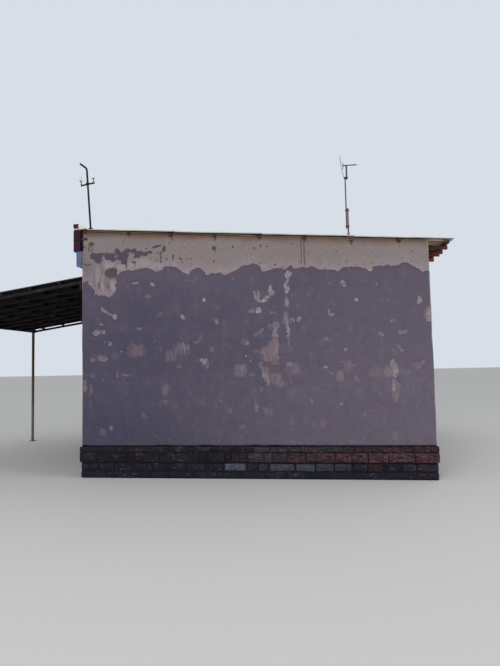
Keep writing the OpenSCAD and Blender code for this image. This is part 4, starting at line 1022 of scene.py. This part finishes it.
def corrugated(name, start, stop, level, tilt, far, wave_high, y_first, y_last, place, seed):
    """One row of corrugated sheets. Height over the row's own line is that of the waves, so a
    valley starts each sheet; it rises by its own thickness where it lies on the next one. The
    row's line climbs with `tilt` from `level`. Top and bottom are two such surfaces, joined
    round the rim."""
    rng = np.random.default_rng(seed)
    count = math.ceil((y_last - y_first - WAVE) / (7 * WAVE))
    along, steps = np.array([0, 0.004, 0.02, 0.25, 0.5, 0.75, 0.98, 0.996, 1.0]), 97
    tones = rng.uniform(0, 1, count)
    slack = rng.uniform(0, 0.007, (count, 2))
    a = y_first + np.arange(count) * (7 * WAVE)
    b = np.minimum(a + 8 * WAVE, y_last)
    u = start + slack[:, :1] + (stop - start - slack.sum(1, keepdims=True)) * along
    u, y = np.broadcast_arrays(u[:, :, None], np.linspace(a, b, steps, axis=1)[:, None])
    wave = waves(y - y_first, wave_high)
    lapped = ease(6.4 * WAVE, 7.0 * WAVE, y - a[:, None, None]) * (b < y_last)[:, None, None]
    body = np.stack([u, y, 0 * u], -1)
    base = wave + SHEET_THICK * lapped + 0.0012 * lumps(body + seed, 0.6, seed)
    reach = u - level
    reach[:, [0, -1]] += 0.0015 * lumps(body, 0.03, seed + 1)[:, [0, -1]]
    reach, w = reach[:, None], np.stack([base, base + SHEET_THICK], 1)
    x = level + reach * math.cos(tilt) - far * w * math.sin(tilt)
    z = far * reach * math.sin(tilt) + w * math.cos(tilt)
    points = place(np.stack([x, np.broadcast_to(y[:, None], x.shape), z], -1).reshape(-1, 3))

    size = len(along) * steps
    under = net(len(along), steps).reshape(-1, 4)[:, [0, 3, 2, 1]]
    faces = [under, under[:, ::-1] + size]
    row, column = np.arange(steps - 1), np.arange(len(along) - 1) * steps
    for first, next_by, order in ((row, 1, [0, 1, 2, 3]), (row + size - steps, 1, [0, 3, 2, 1]),
                                  (column, steps, [0, 3, 2, 1]), (column + steps - 1, steps, [0, 1, 2, 3])):
        rim = np.stack([first, first + size, first + next_by + size, first + next_by], 1)
        faces.append(rim[:, order])
    faces = np.vstack([np.vstack(faces) + 2 * size * k for k in range(count)])
    p, q, r = points[faces[0, :3]]
    if np.cross(q - p, r - p)[2] > 0:
        faces = faces[:, ::-1]
    thing = new_mesh(name, points, [faces])
    # rim: the sheets' edges, the underside beside the near verge and the rows' ends, which the look darkens
    # as a painted shade; below: the underside
    edge, below = np.zeros((2, count, 2, len(along), steps))
    edge[0, :, :, 0], edge[-1, :, :, -1] = 1, 1
    edge[0, 0, :, :4], edge[-1, 0, :, -4:] = 1, 1
    edge[:, :, [0, -1]] = 1
    below[:, 0] = 1
    carry(thing, tone=tones, crest=np.stack([wave, wave], 1) / wave_high, rim=edge, below=below)
    return thing


def cement_sheet(name, clean, dull, dirt, moss, painted_underside, edge):
    """Fibre cement: pale where it is clean, dull in clouds, streaked down the slope with dirt in the
    valleys and spotted with moss. The underside has a colour of its own, a painted light under the
    roof and a painted shade under the canopy, darker in the hollows of its waves as a painted shade.
    The sawn edge's dark colour also lies along the verges, the underside beside the near verge and
    the rows' ends, a painted shade."""
    look = Look(name, 0.95)
    cloud = look.grain(0.3, 5)
    streak = look.grain(0.03, 5, (0.12, 1, 0.4))
    fleck = look.grain(0.02, 6, rough=0.7)
    body = look.over(look.mix((cloud, 0.35, 0.65), clean, dull), (("tone", 0, 1, 0, 0.4), dull),
                     (look.times(("crest", 0.65, 0.0, 0.0, 0.75), (streak, 0.35, 0.6)), dirt),
                     ((fleck, 0.58, 0.68, 0.0, 0.7), moss))
    lower = look.over(look.mix(("crest", 0.15, 0.6, 0.0, 0.55), painted_underside, edge),
                      ((cloud, 0.4, 0.7, 0.0, 0.3), edge))
    body = look.over(body, (("below", 0.45, 0.55), lower), (("rim", 0.6, 0.9), edge))
    look.coat(body, look.plus(fleck, look.grain(0.006)), 0.0015, 0.5)
    return look


def turned(name, profile, around, place, centres=((0.0, 0.0, 0.0),)):
    """Turned pieces, all alike: rings whose radius and height come from the profile, set round
    the upright line through each centre, then placed."""
    profile, centres = np.asarray(profile, float), np.asarray(centres, float)
    angle = np.arange(around) * 2 * np.pi / around
    ring = np.stack([np.cos(angle), np.sin(angle), angle * 0], -1)
    sections = centres[:, None, None] + ring[None, None] * profile[None, :, :1, None]
    sections[..., 2] += profile[None, :, 1, None]
    return carried(name, place(sections))


# the pale underside colour is a painted bounce light; the dark edge colour is a painted shade along the
# verges
roof_cement = cement_sheet("weathered roof sheets", (196, 192, 186), (164, 158, 152), (104, 98, 94),
                           (112, 110, 98), (236, 208, 188), (40, 36, 50))
row_starts = [ROW_2 - ROW_PITCH, ROW_2, ROW_2 + ROW_PITCH, ROW_2 + 2 * ROW_PITCH]
rows = [(level, level + ROW_PITCH + LAP, level) for level in row_starts]
rows[0] = (-0.125,) + rows[0][1:]
rows[-1] = (rows[-1][0], ROOF_LENGTH + across_slope(0.3565), rows[-1][0])
for number, (start, stop, level) in enumerate(rows, 1):
    sheets = corrugated("roof_sheets_%d" % number, start, stop, level, ROW_TILT, 1, ROOF_WAVE_HIGH,
                        -VERGE, DEPTH + VERGE, on_roof, 40 + number)
    dress(sheets, roof_cement, "roof_sheet", "roof_row_%d" % number)

crests = []
for s in (purlin + PURLIN_WIDE / 2 for purlin in purlins):
    level = max((start, level) for start, stop, level in rows if start <= s)[1]
    height = ROOF_WAVE_HIGH + SHEET_THICK + (s - level) * math.sin(ROW_TILT)
    crests += [(s, (k + 0.5) * WAVE - VERGE, height) for k in range(1, 40, 3)]
zinc = speckled("dull zinc nail heads", 0.5, (0.01, 4), (0.45, 0.65), (120, 120, 120), (104, 72, 52), (),
                metal=0.6)
nail = [(0.013, -0.001), (0.013, 0.002), (0.006, 0.004), (0.005, 0.007)]
dress(turned("roof_nails", nail, 8, on_roof, crests), zinc, "grey_steel")


# Left eave: painted maroon boards close in the high eave, two high on the face, one below and
# one at each end, with a cap strip over the sheets' ends. Under them a pale blue-grey board
# box fills the angle between the eave and the wall.
BOARD = 0.024
FACE_OUT, FACE_BACK, FRIEZE_OUT = LEFT - 0.130, LEFT - 0.106, LEFT - 0.085
VERGE_NEAR, VERGE_FAR = -VERGE, DEPTH + VERGE
fascia_foot = EAVE_HIGH - 0.340 + 0.002
maroon = painted("maroon eave paint", (55, 10, 36), (38, 12, 38), (66, 50, 50), Y_GRAIN, 0.63, 0.75)
joints = [VERGE_NEAR, 1.96, 4.02, VERGE_FAR]
boxes = [((FACE_OUT, a + 0.001, fascia_foot + z0), (FACE_BACK, b - 0.001, fascia_foot + z1))
         for a, b in zip(joints[:-1], joints[1:]) for z0, z1 in ((0, 0.169), (0.171, 0.340))]
dress(blocks("eave_face_boards", boxes, 0.003, 0.0008, 51), maroon, "maroon_timber", "eave_fascia")
boxes = [((FACE_BACK, a, fascia_foot), (LEFT, b, fascia_foot + BOARD))
         for a, b in ((VERGE_NEAR + BOARD, 2.98), (2.982, VERGE_FAR - BOARD))]
dress(blocks("eave_under_board", boxes, 0.003, 0.0006, 52), maroon, "maroon_timber", "eave_soffit")
boxes = [((FACE_BACK, y, fascia_foot + z0), (LEFT - 0.018, y + BOARD, fascia_foot + z1))
         for y in (VERGE_NEAR, VERGE_FAR - BOARD) for z0, z1 in ((0, 0.167), (0.169, 0.336))]
dress(blocks("eave_end_planks", boxes, 0.003, 0.0006, 53), maroon, "maroon_timber", "eave_end_boards")
cap_foot = roof_at(LEFT - 0.125) + 0.007 + ROOF_WAVE_HIGH - 0.0005
joints = [-0.040, 2.2, 4.3, DEPTH + 0.040]
boxes = [((LEFT - 0.134, a + 0.001, cap_foot), (LEFT - 0.046, b - 0.001, cap_foot + 0.054))
         for a, b in zip(joints[:-1], joints[1:])]
dress(blocks("eave_cap_strip", boxes, 0.006, 0.0010, 54), maroon, "maroon_timber", "eave_cap")
boxes = [((LEFT - 0.126, y, cap_foot - 0.020), (LEFT - 0.052, y + 0.020, cap_foot + 0.002))
         for y in (-0.0385, DEPTH + 0.0185)]
dress(blocks("eave_cap_ends", boxes, 0.002, 0.0005, 58), maroon, "maroon_timber")


def bedding(x, y, heights):
    """A strip along the house with four corners at each y: their x, and their heights."""
    heights = np.stack(np.broadcast_arrays(*heights, y)[:4], -1)
    return np.stack(np.broadcast_arrays(x, y[:, None], heights), -1)[None]


# pale mortar packed between the cap, the sheets' waves and the face board, and a sloping fillet
# of it behind the cap
pale_mortar = speckled("pale bedding mortar", 0.95, (0.04, 6), (0.38, 0.66), (214, 204, 198),
                       (172, 156, 150), (0.008, 5, 0.003, 0.6))
bed_y = np.linspace(VERGE_NEAR + 0.001, VERGE_FAR - 0.001, 487)
wave_top = 0.007 + waves(bed_y + VERGE, ROOF_WAVE_HIGH)
base_z = roof_at(LEFT - 0.120) - 0.006 + wave_top
under_cap = np.maximum(cap_foot + 0.003, base_z + 0.001)
packed = bedding(LEFT + np.array([-0.120, -0.120, -0.060, -0.060]), bed_y,
                 (base_z, under_cap, under_cap, base_z))
dress(carried("eave_packing", packed, False), pale_mortar, "roof_sheet")
over_face = np.maximum(roof_at(LEFT - 0.118) - 0.0055 + wave_top, EAVE_HIGH + 0.0015)
closing = bedding(LEFT + np.array([-0.127, -0.127, -0.109, -0.109]), bed_y,
                  (EAVE_HIGH + 0.001, over_face, over_face, EAVE_HIGH + 0.001))
dress(carried("eave_closing", closing, False), pale_mortar, "roof_sheet")
hand = 0.004 * lumps(np.stack([bed_y, bed_y * 0, bed_y * 0], 1), 0.12, 55)
fillet_foot = np.maximum(roof_at(LEFT + 0.078) - 0.004 + wave_top, roof_at(LEFT + 0.078) + 0.030 + hand)
fillet = bedding(LEFT + np.array([-0.047, -0.047, 0.010, 0.078]), bed_y,
                 (roof_at(LEFT - 0.047) - 0.004 + wave_top, cap_foot + 0.046 + hand,
                  cap_foot + 0.020 + hand, fillet_foot))
dress(carried("eave_fillet", fillet, False), pale_mortar, "roof_sheet")
# the gap between the end boards and the wall is packed with mud; a plate's end shows over it
boxes = [((LEFT - 0.019, y, fascia_foot + 0.010), (LEFT + 0.016, y + 0.036, roof_at(LEFT) + 0.009))
         for y in (-0.006, DEPTH - 0.030)]
dress(blocks("eave_gap_mud", boxes, 0.004, 0.002, 56), mortar, "roof_sheet")
boxes = [((LEFT - 0.018, y, 3.690), (LEFT + 0.088, y + 0.056, 3.732)) for y in (-0.016, DEPTH - 0.040)]
dress(sticks("eave_plate_ends", boxes, 57, as_is, 0, 0.001), purlin_wood, "old_timber")

blue_paint = painted("pale blue board paint", (84, 98, 136), (70, 82, 114), (84, 80, 88), Y_GRAIN,
                     0.66, 0.75)
foot, seam = fascia_foot - 0.236, fascia_foot - 0.121
profile = np.array([(FRIEZE_OUT + 0.004, fascia_foot), (FRIEZE_OUT, fascia_foot - 0.004),
                    (FRIEZE_OUT, seam + 0.002), (FRIEZE_OUT + 0.004, seam), (FRIEZE_OUT, seam - 0.002),
                    (FRIEZE_OUT, foot + 0.003), (FRIEZE_OUT + 0.003, foot), (LEFT, foot - 0.030),
                    (LEFT, fascia_foot)])
reach = np.array([-0.030, 1.5, 3.0, 4.5, DEPTH + 0.030])
frieze = np.stack(np.broadcast_arrays(profile[:, 0], reach[:, None], profile[:, 1]), -1)
frieze_box = carried("eave_box", frieze[None], False)
carry(frieze_box, tone=[0.4])
dress(frieze_box, blue_paint, "blue_board", "frieze")


# Canopy: a lean-to of light poles under dark corrugated sheets. Its rafters hang from a ledger on
# the left wall and rest on an outer beam, which two steel posts carry; the purlins lie across. The
# dark of its wood and sheets is partly their own colour and partly painted shade.
CANOPY_WALL, CANOPY_POST, CANOPY_WIDE, CANOPY_DEEP = 3.103, 2.655, 3.112, 4.030
CANOPY_TILT = math.atan((CANOPY_WALL - CANOPY_POST) / CANOPY_WIDE)
CANOPY_LONG = CANOPY_WIDE / math.cos(CANOPY_TILT)
POLE, BEAM_HALF, BEAM_HIGH, CANOPY_WAVE_HIGH = 0.040, 0.028, 0.090, 0.030
on_canopy = tilted((LEFT, 0, CANOPY_WALL), CANOPY_TILT)
# dark canopy wood: partly a painted shade
dark_x = timber("dark canopy wood with painted shade", (40, 34, 34), (22, 19, 21), X_GRAIN)
dark_y = timber("dark canopy cross wood with painted shade", (42, 35, 35), (24, 21, 22), Y_GRAIN)
beam_x, ledger_low = -CANOPY_LONG, CANOPY_WALL - POLE - 0.012 - 0.120
poles = [0.020 + i * (CANOPY_DEEP - 0.080) / 9 for i in range(10)]
bars = [0.225 - CANOPY_LONG + 0.5 * i for i in range(6)]
ledger = [((LEFT - 0.050, 0, ledger_low), (LEFT, CANOPY_DEEP, ledger_low + 0.120))]
beam = [((beam_x - BEAM_HALF, 0, -BEAM_HIGH), (beam_x + BEAM_HALF, CANOPY_DEEP, 0))]
rafter_poles = [((beam_x + BEAM_HALF, y, -BEAM_HIGH), (-0.016, y + POLE, -POLE)) for y in poles]
purlin_bars = [((p, 0, -POLE), (p + POLE, CANOPY_DEEP, 0)) for p in bars]
for name, boxes, seed, place, axis, wander, wood, cad in (
        ("ledger_plank", ledger, 61, as_is, 1, 0.001, dark_y, "canopy_ledger"),
        ("outer_beam", beam, 62, on_canopy, 1, 0.0015, dark_y, "canopy_beam"),
        ("rafter_poles", rafter_poles, 63, on_canopy, 0, 0.002, dark_x, "canopy_rafters"),
        ("purlin_bars", purlin_bars, 64, on_canopy, 1, 0.002, dark_y, "canopy_purlins")):
    dress(sticks("canopy_" + name, boxes, seed, place, axis, wander), wood, "dark_timber", cad)

# dark canopy sheets: partly a painted shade, with darker undersides as a painted shade
shaded_dark_cement = cement_sheet("dark canopy sheets with painted shade", (74, 70, 72), (56, 53, 56), (36, 34, 36), (56, 55, 48),
                           (34, 33, 39), (25, 28, 42))
canopy_pitch = CANOPY_LONG / 2 - 0.05
canopy_lap = math.atan(0.0075 / canopy_pitch)
rows = ((0.005, canopy_pitch + 0.09, 0.0), (canopy_pitch - 0.06, CANOPY_LONG + 0.045, canopy_pitch - 0.06))
for number, (start, stop, level) in enumerate(rows, 1):
    sheets = corrugated("canopy_sheets_%d" % number, -stop, -start, -level, canopy_lap, -1,
                        CANOPY_WAVE_HIGH, 0.0, CANOPY_DEEP, on_canopy, 70 + number)
    dress(sheets, shaded_dark_cement, "canopy_sheet", "canopy_row_%d" % number)
# mud packed between the outer beam and the sheets' waves, so that no rain blows in
pack_y = np.linspace(0.002, CANOPY_DEEP - 0.002, 361)
pack_top = 0.0085 + waves(pack_y, CANOPY_WAVE_HIGH)
packing = bedding(beam_x + np.array([-0.020, -0.020, 0.018, 0.018]), pack_y,
                  (-0.001, pack_top, pack_top, -0.001))
dress(carried("canopy_packing", on_canopy(packing), False), mortar, "canopy_sheet")


# Posts: two lengths of steel pipe with a plate welded on at each end, brown with old rust. The
# foot plates lie level on the ground, the head plates square to the canopy's slope.
post_x, foot_half, head_half = LEFT - CANOPY_WIDE, 0.0645, 0.040
beam_under = CANOPY_POST - BEAM_HIGH / math.cos(CANOPY_TILT) - 0.0046
rust = Look("old rusted steel", 0.8, 0.2)
rust_cloud = rust.grain(0.06, 6, (1, 1, 0.4))
height = rust.add("ShaderNodeSeparateXYZ", {"Vector": rust.add("ShaderNodeTexCoord", out="Object")}, "Z")
# grey patches that grow towards the post's foot
grey_towards_foot = rust.times((height, 2.0, 0.4, 0.0, 0.75), (rust_cloud, 0.36, 0.52))
rust.coat(rust.over(rust.mix((rust_cloud, 0.36, 0.64), (96, 76, 68), (62, 48, 46)),
                    ((rust.grain(0.015, 6), 0.56, 0.68, 0.0, 0.8), (128, 82, 52)),
                    (grey_towards_foot, (122, 118, 108))), rust.grain(0.008, 5), 0.001, 0.6)
pipe = [(0.034, 0.008), (0.034, 0.012), (0.030, 0.016), (0.030, 0.5), (0.030, 1.2), (0.030, 1.9),
        (0.030, beam_under - 0.006), (0.033, beam_under - 0.002), (0.033, beam_under)]
on_head = tilted((post_x, 0, CANOPY_POST), CANOPY_TILT)
for name, y in (("near", 0.065), ("far", CANOPY_DEEP - 0.065)):
    post = turned("canopy_pipe_" + name, pipe, 28, as_is, [(post_x, y, 0)])
    dress(post, rust, "rusty_steel", "canopy_post_" + name)
    foot = [((post_x - foot_half, y - foot_half, 0.0003), (post_x + foot_half, y + foot_half, 0.008))]
    dress(blocks("post_foot_" + name, foot, 0.002, 0.0002, 81), rust, "rusty_steel")
    head = [((-head_half, y - head_half, -BEAM_HIGH - 0.008), (head_half, y + head_half, -BEAM_HIGH))]
    dress(blocks("post_head_" + name, head, 0.002, 0.0002, 82, on_head), rust, "rusty_steel")


# Service mast: a steel pipe let into the front wall, bent over at the top so that no rain runs in,
# with a collar at the roof, a flat crossarm clamped to it and two white porcelain insulators.
MAST_X, MAST_Y, MAST_LEAN, ARM_LEAN = LEFT + 0.097, 0.100, math.radians(3.8), math.radians(4.6)
MAST_HIGH, BEND, ARM_Z, PIN_X, PIN_TOP, SOCKET = 1.022, 0.07, 0.804, 0.106, 0.076, 0.26


def headings(path):
    """The direction of a path at each of its points, from the points before and after it."""
    run = np.gradient(path, axis=0)
    return run / np.linalg.norm(run, axis=1, keepdims=True)


def tube(name, path, radius, one, two, around, place):
    """A round bar: at each path point a circle in the plane of the directions one and two."""
    angle = (np.arange(around) * 2 * np.pi / around)[:, None]
    ring = np.cos(angle) * one[:, None] + np.sin(angle) * two[:, None]
    return carried(name, place((path[:, None] + ring * radius)[None]))


def pipe_along(name, path, radius, around, place):
    """A round pipe whose path stays in the frame's own x-z plane."""
    path = np.asarray(path, float)
    side = np.broadcast_to([0.0, 1.0, 0.0], path.shape)
    return tube(name, path, radius, side, np.cross(headings(path), side), around, place)


on_mast = tilted((MAST_X, MAST_Y, roof_at(MAST_X)), MAST_LEAN)
on_bar = tilted((-0.013, 0.015, ARM_Z), ARM_LEAN)


def on_arm(points):
    """Sets points in the crossarm's frame, on the front of the mast and tilted a little."""
    return on_mast(on_bar(points))


mast_steel = speckled("dark mast steel", 0.7, (0.05, 6, (1, 1, 0.4)), (0.45, 0.68), (24, 18, 30),
                      (48, 34, 42), (0.008, 5, 0.0008, 0.5), metal=0.2)
turn = np.radians(np.linspace(0, 48, 11))
arc = np.stack([BEND * np.cos(turn) - BEND, turn * 0, MAST_HIGH + BEND * np.sin(turn)], 1)
tail = np.array([-math.sin(turn[-1]), 0, math.cos(turn[-1])]) * np.array([[0.055], [0.109], [0.110]])
straight = [(0, 0, z) for z in (-SOCKET, 0.001 - SOCKET, 0.0, 0.3, 0.6, 0.9)]
mast = pipe_along("service_pipe", np.vstack([straight, arc, arc[-1] + tail]), 0.015, 20, on_mast)
dress(mast, mast_steel, "rusty_steel", "service_mast", "service_bend")
collar = [(0.026, 0.044), (0.032, 0.047), (0.032, 0.071), (0.026, 0.074), (0.0155, 0.078)]
dress(turned("service_collar", collar, 28, on_mast), mast_steel, "rusty_steel")
arm = blocks("crossarm_bar", [((-0.116, 0, -0.010), (0.116, 0.022, 0.010))], 0.002, 0.0003, 91, on_arm)
dress(arm, mast_steel, "rusty_steel", "service_crossarm")
pin = [(0.007, -0.012), (0.012, -0.0105), (0.012, -0.002), (0.007, 0.001), (0.007, PIN_TOP - 0.0005)]
pins = turned("crossarm_pins", pin, 12, on_arm, [(-PIN_X, 0.011, 0), (PIN_X, 0.011, 0)])
dress(pins, mast_steel, "rusty_steel")
boxes = [((x0, -0.021, 0.791), (x1, y1, 0.817))
         for x0, x1, y1 in ((-0.022, 0.022, -0.0155), (-0.022, -0.0155, 0.015), (0.0155, 0.022, 0.015))]
dress(blocks("mast_clamp", boxes, 0.001, 0.0002, 92, on_mast), mast_steel, "rusty_steel", "service_clamp")
# the grey patches on the porcelain are partly grime and partly a painted shade for the insulators' shaded
# side
porcelain = speckled("white porcelain", 0.25, (0.025, 5), (0.48, 0.62, 0.0, 0.7), (228, 229, 232),
                     (128, 124, 130), (0.01, 3, 0.0004, 0.3), specular=0.5)
shed = [(0.0075, 0.030), (0.0075, 0.004), (0.018, 0.000), (0.024, 0.001), (0.026, 0.006), (0.0255, 0.014),
        (0.021, 0.026), (0.0165, 0.033), (0.0145, 0.038), (0.0140, 0.046), (0.0145, 0.056), (0.0175, 0.060),
        (0.0180, 0.066), (0.0170, 0.072), (0.0130, 0.078), (0.0070, 0.082)]
for name, x in (("left", -PIN_X), ("right", PIN_X)):
    insulator = turned("porcelain_" + name, shed, 24, on_arm, [(x, 0.011, PIN_TOP)])
    dress(insulator, porcelain, "porcelain", "insulator_" + name)


# Aerial: a pole in the front wall, a thinner one strapped beside it, and a short tube that holds a
# crossbar with one upright rod and a bent one. Pink cord is wound round its foot and round the
# end of the purlin beside it.
AERIAL_X, AERIAL_Y = LEFT + 4.147, 0.092
aerial_root = roof_at(AERIAL_X) - 0.016
on_aerial = tilted((AERIAL_X, AERIAL_Y, aerial_root))
dull_metal = speckled("dull aerial metal", 0.5, (0.03, 6, (1, 1, 0.4)), (0.4, 0.66), (64, 62, 76),
                      (50, 42, 46), (0.006, 4, 0.0006, 0.4), metal=0.5)
foot = EAVE_LOW - SOCKET - aerial_root
bent_rod = [(-0.038, 0, 0.948), (-0.0382, 0, 0.949), (-0.055, 0, 1.018), (-0.072, 0, 1.089),
            (-0.075, 0, 1.11), (-0.082, 0, 1.20), (-0.0899, 0, 1.303), (-0.09, 0, 1.304)]
upper_z = (0.176, 0.177, 0.4, 0.7, 0.965, 0.966)
for name, cad, radius, around, path in (
        ("lower_pole", "pole", 0.011, 18, [(0, 0, z) for z in (foot, foot + 0.001, 0, 0.2, 0.483, 0.484)]),
        ("upper_pole", "upper", 0.009, 16, [(-0.023, 0, z) for z in upper_z]),
        ("short_tube", "tube", 0.012, 18, [(0, 0, z) for z in (0.930, 0.931, 1.03, 1.133, 1.134)]),
        ("crossbar", "boom", 0.008, 14, [(x, 0, 1.142) for x in (-0.059, -0.058, 0.0, 0.08, 0.154, 0.155)]),
        ("short_rod", "bar", 0.005, 12, [(-0.049, 0, z) for z in (1.088, 1.089, 1.14, 1.187, 1.188)]),
        ("bent_rod", "rod", 0.0035, 10, bent_rod)):
    look, slot = (rust, "rusty_steel") if cad == "pole" else (dull_metal, "aerial_metal")
    dress(pipe_along("aerial_" + name, path, radius, around, on_aerial), look, slot, "aerial_" + cad)
boxes = []
for z0, z1, x0, x1, left, right, back, out in ((0.196, 0.222, -0.038, 0.017, -0.033, 0.012, 0.012, 0.016),
                                               (0.440, 0.466, -0.038, 0.017, -0.033, 0.012, 0.012, 0.016),
                                               (0.936, 0.960, -0.037, 0.016, -0.033, 0.0125, 0.013, 0.017)):
    boxes += [((x0, -out, z0), (x1, -back, z1)), ((x0, back, z0), (x1, out, z1)),
              ((x0, -back, z0), (left, back, z1)), ((right, -back, z0), (x1, back, z1))]
dress(blocks("aerial_straps", boxes, 0.001, 0.0002, 93, on_aerial), rust, "rusty_steel", "aerial_clamps")


def winding(name, wide, deep, low_z, turns, thick, place, seed):
    """Cord wound round a bar: a rounded rectangle path of half sizes `wide` and `deep`, climbing
    one cord's thickness a turn, with a small seeded wander, carries a circle."""
    t = np.linspace(0, turns, turns * 16 + 1)
    c, s = np.cos(2 * np.pi * t), np.sin(2 * np.pi * t)
    reach = (c ** 4 + s ** 4) ** -0.25
    path = np.stack([wide * c * reach, deep * s * reach, low_z + thick * t], 1)
    path += 0.0008 * np.stack([lumps(path + seed, 0.03, k) for k in (5, 6, 7)], 1)
    run = headings(path)
    out = np.cross(run, (0.0, 0.0, 1.0))
    out /= np.linalg.norm(out, axis=1, keepdims=True)
    return tube(name, path, thick / 2, out, np.cross(out, run), 8, place)


def on_purlin_end(points):
    """Sets points in the frame of the cord's loops, which hang over the purlin's end square to it."""
    x, y, z = np.moveaxis(points, -1, 0)
    sixth = across_slope(PURLIN_FIRST + 5 * PURLIN_STEP)
    return on_roof(np.stack([sixth - 0.004 + x, -0.0295 - z, -0.025 + y], -1))


cord_pink = Look("faded pink cord")
along_cord = cord_pink.add("ShaderNodeTexCoord", out="Object")
twist = cord_pink.add("ShaderNodeTexWave", {"Vector": along_cord, "Scale": 90.0, "Distortion": 1.0},
                      "Fac", bands_direction="DIAGONAL")
faded = cord_pink.mix((cord_pink.grain(0.02), 0.35, 0.65), (168, 138, 132), (118, 96, 94))
cord_pink.coat(faded, twist, 0.002, 0.6)
cord_foot = ROOF_WAVE_HIGH + 0.007 + 0.014 + 0.016 + 0.004
wrap = winding("aerial_foot_cord", 0.0155, 0.0155, cord_foot, 5, 0.0075, on_aerial, 3)
dress(wrap, cord_pink, "lashing", "aerial_lashing")
tie = winding("purlin_end_cord", 0.044, 0.0165, 0.0, 2, 0.0065, on_purlin_end, 4)
dress(tie, cord_pink, "lashing")


# Camera, floor and light: an eye-level view of the front over a plain pale floor, under a soft
# pale sky, with one wide lamp in front of the house and one to its right.
EYE = (1.008, -7.706, 1.65)
YAW, PITCH, ROLL = 0.129, 0.0645, -0.0204
FLOOR_HALF = 150
ahead = mathutils.Vector((-math.sin(YAW), math.cos(YAW), 0))
across = mathutils.Vector((math.cos(YAW), math.sin(YAW), 0))
rise = mathutils.Vector((0, 0, 1))
look = ahead * math.cos(PITCH) + rise * math.sin(PITCH)
lift = rise * math.cos(PITCH) - ahead * math.sin(PITCH)
right_way = across * math.cos(ROLL) + lift * math.sin(ROLL)
up_way = lift * math.cos(ROLL) - across * math.sin(ROLL)
lens = bpy.data.cameras.new("yard_view")
lens.lens = 28.108
lens.sensor_width = 36.0
lens.sensor_fit = "AUTO"
camera = bpy.data.objects.new("yard_view", lens)
bpy.context.collection.objects.link(camera)
turn = mathutils.Matrix((right_way, up_way, -look)).transposed().to_4x4()
camera.matrix_world = mathutils.Matrix.Translation(EYE) @ turn
bpy.context.scene.camera = camera

ground = Look("pale floor")
ground.shader.inputs["Base Color"].default_value = (0.55, 0.54, 0.52, 1)
corners = [(x * FLOOR_HALF, y * FLOOR_HALF, 0) for x, y in ((-1, -1), (1, -1), (1, 1), (-1, 1))]
ground_sheet = new_mesh("pale_floor", corners, [np.array([[0, 1, 2, 3]])], False)
paint(ground_sheet, ground)

# the world lights the house with its own colour, and shows the camera, glossy and transmission
# rays a paler one
bpy.context.scene.view_settings.view_transform = "Standard"
sky = bpy.data.worlds.new("soft sky")
bpy.context.scene.world = sky
sky.use_nodes = True
sky_nodes, links = sky.node_tree.nodes, sky.node_tree.links
light = sky_nodes["Background"]
shown = sky_nodes.new("ShaderNodeBackground")
for background, colour, strength in ((light, (0.93, 0.96, 1.0, 1), 0.75),
                                     (shown, tint(214, 221, 230), 1.0)):
    background.inputs["Color"].default_value = colour
    background.inputs["Strength"].default_value = strength
ray = sky_nodes.new("ShaderNodeLightPath")
seen = ray.outputs["Is Camera Ray"]
for kind in ("Is Glossy Ray", "Is Transmission Ray"):
    either = sky_nodes.new("ShaderNodeMath")
    either.operation = "MAXIMUM"
    links.new(seen, either.inputs[0])
    links.new(ray.outputs[kind], either.inputs[1])
    seen = either.outputs[0]
blend = sky_nodes.new("ShaderNodeMixShader")
for number, output in enumerate((seen, light.outputs[0], shown.outputs[0])):
    links.new(output, blend.inputs[number])
links.new(blend.outputs[0], sky_nodes["World Output"].inputs["Surface"])

for name, where, size, power in (("front_lamp", (-5.0, -17.0, 6.5), 9.0, 1550.0),
                                 ("right_lamp", (14.0, -4.0, 8.0), 7.0, 650.0)):
    lamp = bpy.data.lights.new(name, "AREA")
    lamp.shape = "DISK"
    lamp.size = size
    lamp.energy = power
    holder = bpy.data.objects.new(name, lamp)
    bpy.context.collection.objects.link(holder)
    aim = mathutils.Vector((0, 2, 1.6)) - mathutils.Vector(where)
    turn = aim.to_track_quat("-Z", "Y").to_matrix().to_4x4()
    holder.matrix_world = mathutils.Matrix.Translation(where) @ turn
